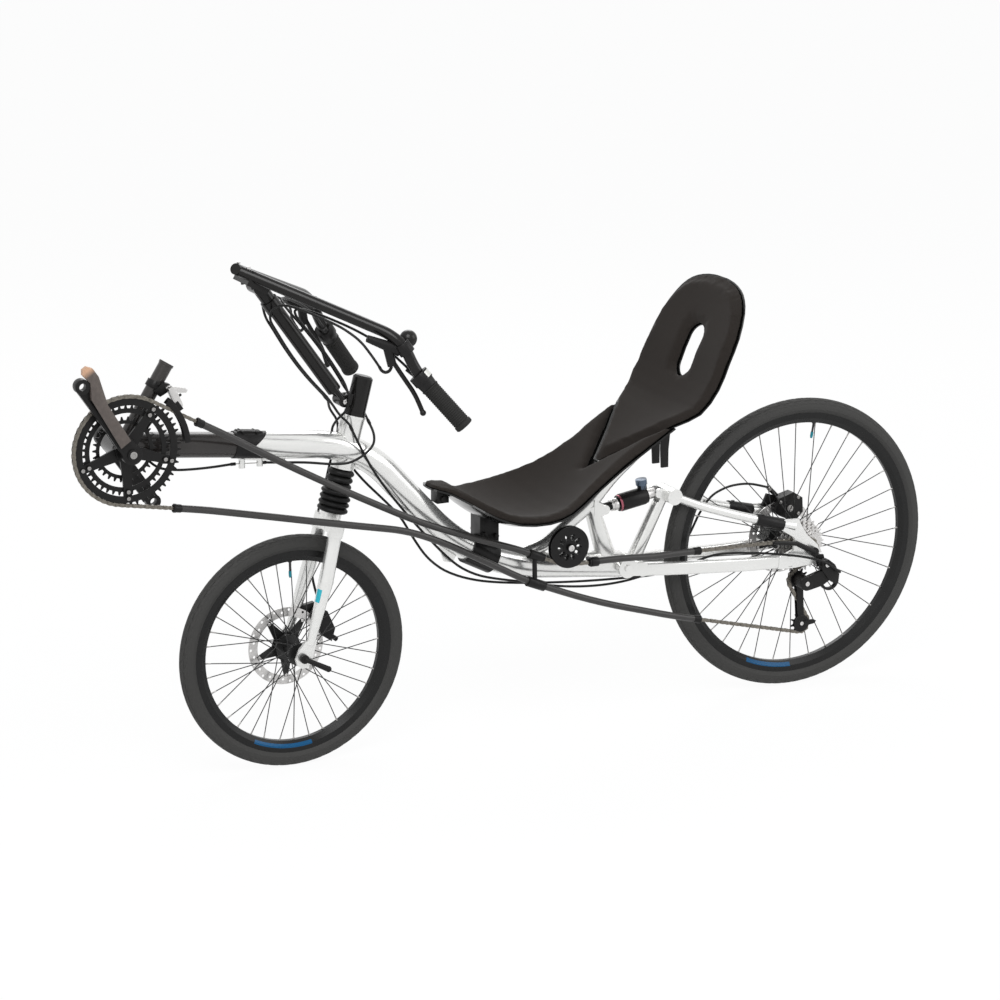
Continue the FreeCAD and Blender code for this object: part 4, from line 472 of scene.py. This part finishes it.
# Pins that fall in one cell, or closer together than the gap, are the same pin.
PIN_CELL, PIN_GAP = 0.004, 0.005
# The points of one plate in the solid, and those round the outline of the new one.
CORNERS, OUTLINE = 24, 28
ROLLER = ((0.0018, -0.0038), (0.0018, -0.0014), (0.0038, -0.0014), (0.0038, 0.0014), (0.0018, 0.0014),
          (0.0018, 0.0038), (0.0001, 0.0040), (0.0001, -0.0040))
cad_links = nodes["chain"].data
PLATES = len(cad_links.vertices) // CORNERS
corners = np.empty(len(cad_links.vertices) * 3)
cad_links.vertices.foreach_get("co", corners)
corners = corners.reshape(PLATES, -1, 3)
centres = corners.mean(1)
# Each plate's tilt is the direction in which its corners spread most, seen from the side.
x, z = np.moveaxis(corners - centres[:, None, :], 2, 0)[[0, 2]]
tilt = 0.5 * np.arctan2(2 * (x * z).sum(1), (x ** 2 - z ** 2).sum(1))
ahead = np.stack([np.cos(tilt), np.zeros_like(tilt), np.sin(tilt)], -1)
upward = np.stack([-np.sin(tilt), np.zeros_like(tilt), np.cos(tilt)], -1)
# A plate's outline is two round ends, one about each pin, and a waist that narrows between them.
turn = np.linspace(0, 2 * np.pi, OUTLINE, endpoint=False)
lean = np.abs(np.cos(turn))
outline_x = (0.5 * PITCH + END_RADIUS * lean) * np.sign(np.cos(turn)) * np.minimum(1, lean * STEEPNESS)
outline_z = END_RADIUS * np.sin(turn) * (1 - WAIST * np.exp(-(outline_x / WAIST_REACH) ** 2))
plate_points = np.concatenate([centres[:, None, :] + outline_x[None, :, None] * ahead[:, None, :]
                               + outline_z[None, :, None] * upward[:, None, :] + np.array([0, depth, 0])
                               for depth in (-PLATE_HALF, PLATE_HALF)], 1)
side = np.arange(OUTLINE)
one_plate = [tuple(side), tuple(side[::-1] + OUTLINE)]
one_plate += [(i + OUTLINE, (i + 1) % OUTLINE + OUTLINE, (i + 1) % OUTLINE, i) for i in side]
plate_faces = [tuple(i + k * 2 * OUTLINE for i in f) for k in range(PLATES) for f in one_plate]
# A pin at each end of a plate, kept once where two plates share it.
ends = np.concatenate([centres + ahead * PITCH / 2, centres - ahead * PITCH / 2])
ends[:, 1] = np.where(ends[:, 1] < BETWEEN_LINES, NEAR_LINE, FAR_LINE)
first = np.unique(np.round(ends[:, [0, 2]] / PIN_CELL), axis=0, return_index=True)[1]
pins = []
for pin in ends[np.sort(first)]:
    if all(np.linalg.norm(pin - other) > PIN_GAP for other in pins):
        pins.append(pin)
rollers = [turned(ROLLER, pin, (0, 1, 0), 12) for pin in pins]
chain = build("chain_links", *joined([(plate_points, plate_faces)] + rollers), chain_steel, "frame", "chain_steel",
              30)
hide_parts("chain")

# ---------------------------------------------------------------- chain tubes
# Dark grey plastic tubes that the chain slides through, with a black clip between two of them.
# Each tube's mouth is flared in a short black collar.
tube_grey = finish("tube_grey", (0.04, 0.038, 0.037), rough=(0.3, 0.42), grain=(25, 90, 90), spread=0.4, bump=0.06,
                   shine=0.4)
dress(tube_grey, "chain_tube_upper", "chain_tube_rear", "chain_tube_return")
eased("chain_tube_clips", "frame", satin_black, 0.0005)
FLARE = ((0.0058, -0.0012), (0.0078, -0.0022), (0.0088, -0.0012), (0.0088, 0.003), (0.0081, 0.0045), (0.0081, 0.013),
         (0.0076, 0.0145), (0.00705, 0.0145), (0.00705, 0.0002), (0.0058, 0.0002))
collars = []
# Each mouth's place in millimetres, and the slope in degrees of the way into its tube.
for (x, y, z), slope in (((-208, -50, 739), -29.26), ((-259, -50, 575), -10.08), ((528, -58, 376), 156.04),
                         ((636, -58, 353), -0.49), ((894, -58, 344), 178.5), ((897, -58, 194), 165.74)):
    run = (math.cos(math.radians(slope)), 0, math.sin(math.radians(slope)))
    collars.append(turned(FLARE, spot(x, y, z), run, 32))
build("chain_tube_mouths", *joined(collars), satin_black, "frame", "chain_tube", 40)

# ---------------------------------------------------------------- chainrings, cassette and cranks
# Three black anodised toothed rings bolted to a spider, with steel bolts.
# The crank arms are forged and tapered; a brown guard strip with a copper-toned end lies on the near one.
dress(satin_black, "chainrings", "idler_wheel")
cranks = eased("crank_arms", "cranks", satin_black, 0.0016)
CRANK_X, CRANK_Z, CRANK_ANGLE, CRANK_LENGTH = -350, 698, math.radians(124), 0.170
CRANK_AXLE = spot(CRANK_X, 0, CRANK_Z)
TO_TIP = np.array([math.cos(CRANK_ANGLE), 0, math.sin(CRANK_ANGLE)])
# Along the near arm from the axle, in metres: where the guard starts, where it covers the arm's
# sides too, and where its copper end begins and is full. Across, it lies beyond its two faces, and
# it keeps clear of the middle of the pedal's eye.
GUARD_FROM, GUARD_WRAPS, COPPER_FROM, COPPER_FULL = 0.030, 0.150, 0.179, 0.191
GUARD_FACE, GUARD_FRONT, EYE_ROOM = -0.0845, -0.0895, 0.0142
guard_brown = finish("guard_brown", (0.105, 0.085, 0.075), rough=(0.35, 0.55), grain=(120, 120, 120), spread=0.55,
                     bump=0.25, shine=0.5)
tree = guard_brown.node_tree
shader = tree.nodes["Principled BSDF"]
place = tree.nodes.new("ShaderNodeTexCoord")
along = tree.nodes.new("ShaderNodeVectorMath")
along.operation = "DOT_PRODUCT"
along.inputs[1].default_value = TO_TIP
tree.links.new(place.outputs["Object"], along.inputs[0])
toward_tip = tree.nodes.new("ShaderNodeMapRange")
toward_tip.inputs["From Min"].default_value = float(CRANK_AXLE @ TO_TIP) + COPPER_FROM
toward_tip.inputs["From Max"].default_value = float(CRANK_AXLE @ TO_TIP) + COPPER_FULL
tree.links.new(along.outputs["Value"], toward_tip.inputs["Value"])
copper = tree.nodes.new("ShaderNodeMix")
copper.data_type = "RGBA"
copper.inputs["B"].default_value = (0.50, 0.30, 0.19, 1)
tree.links.new(toward_tip.outputs[0], copper.inputs["Factor"])
tree.links.new(shader.inputs["Base Color"].links[0].from_socket, copper.inputs["A"])
tree.links.new(copper.outputs["Result"], shader.inputs["Base Color"])
cranks.data.materials.append(guard_brown)
for face in cranks.data.polygons:
    off = (np.array(face.center) - CRANK_AXLE) * (1, 0, 1)
    clear_of_eye = np.linalg.norm(off - TO_TIP * CRANK_LENGTH) > EYE_ROOM
    wrapped = face.center.y < GUARD_FRONT or off @ TO_TIP > GUARD_WRAPS
    if face.center.y < GUARD_FACE and clear_of_eye and off @ TO_TIP > GUARD_FROM and wrapped:
        face.material_index = 1

# A socket head's profile, as shares of its radius and of its height.
BOLT_SHAPE = ((0.0, -0.6), (1.0, -0.6), (1.0, 0.8), (0.86, 1.0), (0.5, 1.0), (0.42, 0.5), (0.0, 0.55))


def bolts(name, body, places, material=bright_steel):
    """Socket-head bolts in one piece: for each its centre, direction, radius and height in mm."""
    heads = []
    for centre, axis, radius, height in places:
        profile = [(max(r * radius, 0.05) / 1000, h * height / 1000) for r, h in BOLT_SHAPE]
        heads.append(turned(profile, spot(*centre), axis, 18))
    build(name, *joined(heads), material, body, "steel", 35)


def fifth(x, y, z, radius, first, i):
    """A place in millimetres on the i-th of five lines about (x, y, z), the first at an angle in degrees."""
    angle = math.radians(first + 72 * i)
    return x + radius * math.cos(angle), y, z + radius * math.sin(angle)


NEAR, FAR = (0, -1, 0), (0, 1, 0)
bolts("ring_bolts", "cranks",
      [(fifth(CRANK_X, -53, CRANK_Z, radius, 54, i), NEAR, 3.8, 1.1) for i in range(5) for radius in (80, 93)]
      + [((CRANK_X, -88, CRANK_Z), NEAR, 7, 1.6), ((CRANK_X, 88, CRANK_Z), FAR, 7, 1.6)], dull_steel)
for name, body, x, y, z in (("front_rotor_bolts", "front_wheel", 0, 33.3, 238),
                            ("rear_rotor_bolts", "rear_wheel", 1159, 50.3, 314.5)):
    bolts(name, body, [(fifth(x, y, z, 60, 125, i), NEAR, 3.2, 1.6) for i in range(5)])
bolts("idler_bolt", "frame", [((587, -70, 392), NEAR, 6.5, 2)])

# ---------------------------------------------------------------- seat
# Charcoal foam pads on two gloss black laminate shells; the upper pad has a slot for the neck.
# The foam is cut soft, so it crowns between its edges: cloth under a little air pressure gives the form.
foam = finish("seat_foam", (0.0235, 0.0192, 0.0165), rough=(0.82, 0.96), grain=(9, 9, 9), spread=0.3, bump=0.7,
              sheen=0.05, fine=1500, shine=0.15)
laminate = finish("laminate", (0.005, 0.005, 0.005), rough=(0.12, 0.2), grain=(200, 200, 200), spread=0.5, bump=0.02,
                  coat=0.2, coat_rough=0.03, shine=0.25)
dress(laminate, "seat_shell_lower", "seat_shell_upper")
# The foam's mesh size in metres, the air's push and its steps, and the smoothing's passes.
FOAM_MESH, AIR_PUSH, STEPS, SMOOTH_PASSES = 0.004, 4, 20, 9
# A point whose normal leans this much away from the rider counts as the shell's side, and this
# much towards the rider as the rider's side.
SHELL_SIDE, RIDER_SIDE = -0.2, 0.4


def settled(piece):
    """The points of a piece with its modifiers, as they stand now."""
    mesh = piece.evaluated_get(bpy.context.evaluated_depsgraph_get()).to_mesh()
    points = np.empty(len(mesh.vertices) * 3)
    mesh.vertices.foreach_get("co", points)
    return points.reshape(-1, 3)


def crowned(node, rider, cap, back_cap):
    """A pad blown up a little: meshed again, pressed out by air, no point moving more than its cap.

    The side towards the rider may move by cap metres, and the side on the shell by back_cap.
    """
    piece = bpy.data.objects.new(node + "_foam", nodes[node].data.copy())
    bpy.context.scene.collection.objects.link(piece)
    fine = piece.modifiers.new("fine", "REMESH")
    fine.mode = "VOXEL"
    fine.voxel_size = FOAM_MESH
    mesh = bpy.data.meshes.new_from_object(piece.evaluated_get(bpy.context.evaluated_depsgraph_get()))
    piece.modifiers.clear()
    piece.data = mesh
    bpy.context.view_layer.update()
    before = settled(piece)
    air = piece.modifiers.new("air", "CLOTH")
    air.settings.use_pressure = True
    air.settings.uniform_pressure_force = AIR_PUSH
    air.settings.effector_weights.gravity = 0
    for step in range(1, STEPS + 1):
        bpy.context.scene.frame_set(step)
    moved = settled(piece) - before
    piece.modifiers.clear()
    bpy.context.scene.frame_set(1)
    normals = np.array([v.normal for v in mesh.vertices])
    facing = step_up(normals @ (np.array(rider) / np.linalg.norm(rider)), SHELL_SIDE, RIDER_SIDE)
    limit = back_cap + (cap - back_cap) * facing
    length = np.linalg.norm(moved, axis=1)
    share = np.minimum(1, limit / np.maximum(length, 1e-9))
    mesh.vertices.foreach_set("co", (before + moved * share[:, None]).ravel())
    even = piece.modifiers.new("even", "SMOOTH")
    even.factor, even.iterations = 0.5, SMOOTH_PASSES
    rounded = piece.modifiers.new("round", "SUBSURF")
    rounded.levels = rounded.render_levels = 1
    mesh.materials.clear()
    mesh.materials.append(foam)
    mesh.shade_smooth()
    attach(piece, "frame")
    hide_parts(node)


crowned("seat_pad_lower", (-0.3, 0, 1), 0.006, 0.0004)
crowned("seat_pad_upper", (-0.9, 0, 0.45), 0.008, 0.0004)

# ---------------------------------------------------------------- brackets and small castings
# Clamps, calipers, derailleurs, levers and axles: black anodised machined and cast parts, with
# their edges broken, bolted to the tubes that they sit on.
for node, body in (("seat_clamp", "frame"), ("seat_bracket", "frame"), ("rear_caliper", "frame"),
                   ("front_caliper", "steering"), ("rear_derailleur", "frame"), ("idler_post", "frame"),
                   ("stay_clamps", "frame"), ("front_derailleur", "frame"), ("rear_axle", "frame"),
                   ("front_axle", "steering"), ("brake_levers", "mast"), ("twist_shifters", "mast")):
    eased(node, body, satin_black)
bolts("caliper_bolts", "frame", [((1149, 39, 394), NEAR, 3.6, 2), ((1193, 39, 400), NEAR, 3.6, 2),
                                 ((1194, 39, 364), NEAR, 3.6, 2), ((1172, 37, 378), NEAR, 7.5, 1.2),
                                 ((1128, 52, 424), (-0.66, 0, 0.75), 5.6, 5)], dull_steel)
cage = eased("derailleur_cage", "frame", bright_steel, 0.0004)
cage.data.materials.append(satin_black)
# The curved plates beside the rings are black; the links that carry them stay bright.
CAGE_REACH, CAGE_FACE = 0.1285, -0.042
for face in cage.data.polygons:
    off = (np.array(face.center) - CRANK_AXLE) * (1, 0, 1)
    if np.linalg.norm(off) < CAGE_REACH and face.center.y < CAGE_FACE:
        face.material_index = 1
PULLEY_FACE = ((0.0001, 0), (0.0185, 0), (0.0188, 0.0006), (0.0178, 0.0014), (0.0132, 0.0014), (0.0126, 0.0007),
               (0.0070, 0.0007), (0.0062, 0.0016), (0.0001, 0.0016))
PULLEY_X, PULLEY_Z = 1144.5, 152.3
build("pulley_face", *joined([turned(PULLEY_FACE, spot(PULLEY_X, -64.1, PULLEY_Z), NEAR, 48)]), satin_black,
      "frame", "black_alloy", 35)
bolts("pulley_bolts", "frame", [((PULLEY_X, -65.6, PULLEY_Z), NEAR, 4.2, 1.6), ((1136, -98, 250), NEAR, 5, 1.5),
                                ((1182, -102, 287), NEAR, 5, 1.5)])

# ---------------------------------------------------------------- shock absorber
# An air can with a pink anodised ring, a bright shaft and a blue-grey knob, between black eyes.
# One eye is bolted under the seat arch and the other to the swinging rear arm.
SHOCK_FRONT, SHOCK_REAR = spot(694, 0, 446), spot(822, 0, 466)
SHOCK_RUN = (SHOCK_REAR - SHOCK_FRONT) / np.linalg.norm(SHOCK_REAR - SHOCK_FRONT)
shock = eased("shock_absorber", "frame", satin_black, 0.0008)
pink = finish("pink_anodised", (0.42, 0.12, 0.16), metallic=0.7, rough=(0.25, 0.35), spread=0.2, bump=0.03)
knob_blue = finish("knob_blue", (0.10, 0.14, 0.2), metallic=0.5, rough=(0.25, 0.4), spread=0.3, bump=0.05)
for extra in (bright_steel, pink, knob_blue):
    shock.data.materials.append(extra)
BRIGHT, PINK, KNOB = 1, 2, 3
# Each band's material, its two ends along the shock, and its least and greatest distance from the
# shock's line, in metres. The knob is what stands far from that line, above the front eye.
BANDS = ((PINK, 0.0372, 0.0436, 0.012, 1), (BRIGHT, 0.1035, 0.122, -1, 0.0125), (BRIGHT, 0.0195, 0.036, -1, 0.0135))
KNOB_OUT, KNOB_ABOVE = 0.0225, 0.030
for face in shock.data.polygons:
    off = np.array(face.center) - SHOCK_FRONT
    along_shock = off @ SHOCK_RUN
    wide = np.linalg.norm(off - SHOCK_RUN * along_shock)
    here = [look for look, start, end, least, most in BANDS if start < along_shock < end and least < wide < most]
    if here:
        face.material_index = here[0]
    elif wide > KNOB_OUT and off[2] > KNOB_ABOVE:
        face.material_index = KNOB

# ---------------------------------------------------------------- mast and handlebar
# Gloss black tubes: a mast that tilts on the stem, and two swept-back arms with ribbed rubber grips.
# The grips slip over the arms' ends below the twist shifters, which carry pale patches that are painted highlights.
dress(gloss_black, "stem", "mast", "handlebar", "bell")
grip_rubber = finish("grip_rubber", (0.016, 0.0155, 0.0145), rough=(0.6, 0.75), spread=0.35, bump=0.3, shine=0.25)
GRIP_TOP, GRIP_END = (171.4, 225.6, 832.2), (248.3, 267.9, 733.3)
FLUTES, FLUTE_DEPTH = 30, 0.03
# In metres: where the ribs start and end along a grip, one rib's length, their middle radius and height.
RIBS_FROM, RIBS_TO, RIB_LENGTH, RIB_RADIUS, RIB_HEIGHT = 0.040, 0.128, 0.0044, 0.0165, 0.0006
RIBS_EDGE = 0.0005
GRIP_COLLAR = [(0.0111, 0.0362), (0.0172, 0.0362), (0.0180, 0.037), (0.0180, 0.0388)]
GRIP_CAP = [(0.0180, 0.129), (0.0180, 0.1362), (0.0165, 0.1378), (0.0001, 0.138), (0.0001, 0.1324), (0.0111, 0.1324)]


def grip_line(side):
    """The top of the grip on one side, and the direction from there to its end."""
    top, end = (spot(x, y * side, z) for x, y, z in (GRIP_TOP, GRIP_END))
    return top, (end - top) / np.linalg.norm(end - top)


ribbed = []
for side in (-1, 1):
    top, run = grip_line(side)
    t = np.linspace(RIBS_FROM, RIBS_TO, 133)
    ribs = RIB_RADIUS + RIB_HEIGHT * np.sin(2 * np.pi * (t - RIBS_FROM) / RIB_LENGTH)
    points, quads = turned(GRIP_COLLAR + list(zip(ribs, t)) + GRIP_CAP, top, run, FLUTES * 4)
    distance = (points - top) @ run
    middle = top + distance[..., None] * run
    inside = (distance > RIBS_FROM - RIBS_EDGE) & (distance < RIBS_TO + RIBS_EDGE)
    groove = 1 - FLUTE_DEPTH * (np.arange(FLUTES * 4)[:, None] % 4 == 0) * inside
    ribbed.append((middle + (points - middle) * groove[..., None], quads))
grips = build("ribbed_grips", *joined(ribbed), grip_rubber, "mast", "grip_rubber", 60)
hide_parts("grips")
# Pale curved plates facing up on the twist shifters: painted highlights.
HIGHLIGHT_FACING = np.array([0.41, -0.53, 0.74])
# Each painted highlight patch's half angle round the bar, its two ends along it, and its outer and inner radius.
HIGHLIGHT_TURN, HIGHLIGHT_ENDS, HIGHLIGHT_RADII = 30, (0.006, 0.019), (0.0204, 0.0190)
shifter_highlight_paint = finish("shifter_highlight_paint", (0.62, 0.62, 0.58), rough=(0.08, 0.14), spread=0.08, bump=0.01, coat=0.6,
                      shine=0.5)
highlight_patches = []
for side in (-1, 1):
    top, run = grip_line(side)
    facing = HIGHLIGHT_FACING * (1, -side, 1)
    facing -= run * (facing @ run)
    facing /= np.linalg.norm(facing)
    beside = np.cross(run, facing)
    turn = np.radians(np.linspace(HIGHLIGHT_TURN, -HIGHLIGHT_TURN, 13))[None, :, None]
    t = np.linspace(*HIGHLIGHT_ENDS, 5)[:, None, None]
    highlight_patches.append(slab(*(top + t * run + r * (np.cos(turn) * facing + np.sin(turn) * beside)
                          for r in HIGHLIGHT_RADII)))
build("shifter_painted_highlights", *joined(highlight_patches), shifter_highlight_paint, "mast", "black_alloy", 60)
bolts("bar_bolts", "mast", [((-87, y, 1022), (-0.2, 0, 0.95), 4, 3) for y in (-26, 26)])
bolts("pivot_bolt", "mast", [((112.5, -20, 737.5), NEAR, 5, 2), ((112.5, 20, 737.5), FAR, 5, 2)])

# ---------------------------------------------------------------- fork leg stripe
# A plain cyan block painted on the near fork leg's leading side.
# It follows the leg's taper and lies a hair above the silver.
cyan = finish("cyan_paint", (0.02, 0.42, 0.52), rough=(0.3, 0.4), spread=0.15, bump=0.02)
# Down the head's line, in metres: the stripe's two ends, and the leg's top and length.
STRIPE_FROM, STRIPE_TO, LEG_TOP, LEG_LENGTH = 0.345, 0.371, 0.330, 0.128
# How far the leg stands to the side, how far it drifts over its length, its radius and its taper.
LEG_ASIDE, LEG_DRIFT, LEG_RADIUS, LEG_TAPER = np.array([0, -0.046, 0]), np.array([-0.006, -0.008, 0]), 0.015, 0.007
# The stripe's two edges in degrees round the leg, and its outer and inner skin above the leg's.
STRIPE_TURN, STRIPE_LIFTS = (186, 232), (0.0006, -0.001)
drop = np.linspace(STRIPE_FROM, STRIPE_TO, 9)[:, None]
share = (drop - LEG_TOP) / LEG_LENGTH
centre = HEAD + drop[..., None] * DOWN_HEAD + LEG_DRIFT * share[..., None] + LEG_ASIDE
turn = np.linspace(*(math.radians(a) for a in STRIPE_TURN), 12)[None, :]
ring = (np.cos(turn)[..., None] * np.array([math.sin(LEAN), 0, -math.cos(LEAN)])
        + np.sin(turn)[..., None] * np.array([0, 1, 0]))
wide = (LEG_RADIUS - LEG_TAPER * share)[..., None]
build("leg_stripe", *joined([slab(*(centre + ring * (wide + lift) for lift in STRIPE_LIFTS))]), cyan, "steering",
      "silver_frame")

# ---------------------------------------------------------------- hoses and cables
# Black hoses and cable housing, tied along the tubes; short curved lengths of the same cross the mast's pivot
# and the steering, where each line changes from one part of the frame to the next.
housing = finish("cable_housing", (0.007, 0.007, 0.007), rough=(0.38, 0.5), spread=0.3, bump=0.05, shine=0.25)
dress(housing, "frame_cables", "fork_cable", "mast_cables")
HOSE_RADIUS, ELBOW_RADIUS, WIRE_RADIUS = 0.0025, 0.0031, 0.0009
SMOOTH, ROUND = 12, 14
# A direction that no hose runs along, from which each ring of a hose takes its own.
ASKEW = (0.3, 0.9, 0.2)


def through(route, leaves=None, arrives=None):
    """A smooth curve through a route's points, with SMOOTH steps between each two.

    It is cubic, and its slope at each point is parallel to the line between that point's neighbours.
    At its ends it runs straight on, or along the directions given.
    """
    points = np.array([spot(*p) for p in route])
    first, last = points[1] - points[0], points[-1] - points[-2]
    if leaves is not None:
        first = 2 * np.linalg.norm(first) * np.array(leaves) - first
    if arrives is not None:
        last = 2 * np.linalg.norm(last) * np.array(arrives) - last
    padded = np.concatenate([[points[0] - first], points, [points[-1] + last]])
    a, b, c, d = (padded[i:len(padded) - 3 + i, None] for i in range(4))
    t = np.linspace(0, 1, SMOOTH, endpoint=False)[None, :, None]
    line = 0.5 * (2 * b + (c - a) * t + (2 * a - 5 * b + 4 * c - d) * t ** 2 + (3 * b - a - 3 * c + d) * t ** 3)
    return np.concatenate([line.reshape(-1, 3), points[-1:]])


def hose(line, radius):
    """A round tube along a line, closed at both ends: a ring of ROUND points square to each step."""
    heading = np.gradient(line, axis=0)
    heading /= np.linalg.norm(heading, axis=1)[:, None]
    across = np.cross(heading, ASKEW)
    across /= np.linalg.norm(across, axis=1)[:, None]
    upward = np.cross(heading, across)
    angle = np.linspace(0, 2 * np.pi, ROUND, endpoint=False)[None, :, None]
    skin = line[:, None] + radius * (np.cos(angle) * across[:, None] + np.sin(angle) * upward[:, None])
    last = len(line) * ROUND
    ends = [tuple(range(ROUND - 1, -1, -1)), tuple(range(last - ROUND, last))]
    return skin, [tuple(int(i) for i in f) for f in woven(len(line), ROUND, False, True)[:, ::-1]] + ends


def bridge(name, route, splits, leaves, arrives):
    """A curved length of hose, in one piece per joint that it crosses, in line with what it joins."""
    line = through(route, leaves, arrives)
    for part, (body_a, body_b, first, last) in enumerate(splits):
        some = line[first * SMOOTH:last * SMOOTH + 1]
        skin, faces = hose(some, HOSE_RADIUS)
        mesh = bpy.data.meshes.new(f"{name}_{part}")
        mesh.from_pydata(skin.reshape(-1, 3).tolist(), [], faces)
        mesh.materials.append(housing)
        mesh.shade_smooth()
        piece = bpy.data.objects.new(f"{name}_{part}", mesh)
        bpy.context.scene.collection.objects.link(piece)
        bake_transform(piece)


# The directions in which the hoses leave the mast, on its front and on its back. Each route is in
# millimetres, and each split names two bodies and the route's points between which it bends.
BEFORE_MAST, BEHIND_MAST = (0.669, 0, -0.743), (0.520, 0, -0.855)
bridge("rear_brake_bridge", ((75, -8, 752.6), (86, -16, 735), (98, -25, 714), (118, -30, 690)),
       (("mast", "steering", 0, 1), ("steering", "frame", 1, 3)), BEFORE_MAST, (0.415, -0.04, -0.909))
bridge("front_brake_bridge", ((75, 8, 752.6), (83, 13, 743), (93, 20, 732)), (("mast", "steering", 0, 2),),
       BEFORE_MAST, (0.363, 0.66, -0.66))
bridge("front_shift_bridge", ((112.6, 8, 779), (124, 20, 764), (139, 29, 745), (156, 29, 725), (167, 19, 706),
                              (171, 6, 690)),
       (("mast", "steering", 0, 2), ("steering", "frame", 2, 5)), BEHIND_MAST, (0.261, -0.457, -0.85))
bridge("rear_shift_bridge", ((112.6, -8, 779), (117, -17, 762), (119, -24, 742), (112, -22, 720), (99, -10, 701),
                             (97, 10, 680), (104, 24, 658), (118, 32, 640)),
       (("mast", "steering", 0, 3), ("steering", "frame", 3, 7)), BEHIND_MAST, (0.479, 0.02, -0.878))

ELBOW = ((104, 203, 846), (108.5, 204, 838.5), (115, 206.5, 835), (121.5, 210, 838), (125, 213, 846))
elbows = [hose(through([(x, y * side, z) for x, y, z in ELBOW]), ELBOW_RADIUS) for side in (-1, 1)]
build("hose_elbows", *joined(elbows), satin_black, "mast", "black_alloy")
FERRULE = ((0.0001, 0), (0.0028, 0), (0.0033, 0.0006), (0.0033, 0.0095), (0.0028, 0.0105), (0.0001, 0.0105))
inner_wire = hose(through(((-124, 0, 634.4), (-100, 0, 632.8), (-76, 0, 631.1), (-46, 0, 629.1))), WIRE_RADIUS)
build("inner_wire", *joined([inner_wire]), dull_steel, "frame", "steel")
ferrules = [turned(FERRULE, spot(*place), run, 20) for place, run in
            (((-112, 0, 633.6), (-1, 0, 0.02)), ((-58, 0, 629.9), (1, 0, -0.05)),
             ((118, -30, 690), (0.41, -0.04, -0.91)), ((171, 6, 690), (0.28, -0.49, -0.83)),
             ((118, 32, 640), (0.48, 0.02, -0.88)))]
build("cable_ferrules", *joined(ferrules), satin_black, "frame", "black_alloy", 40)
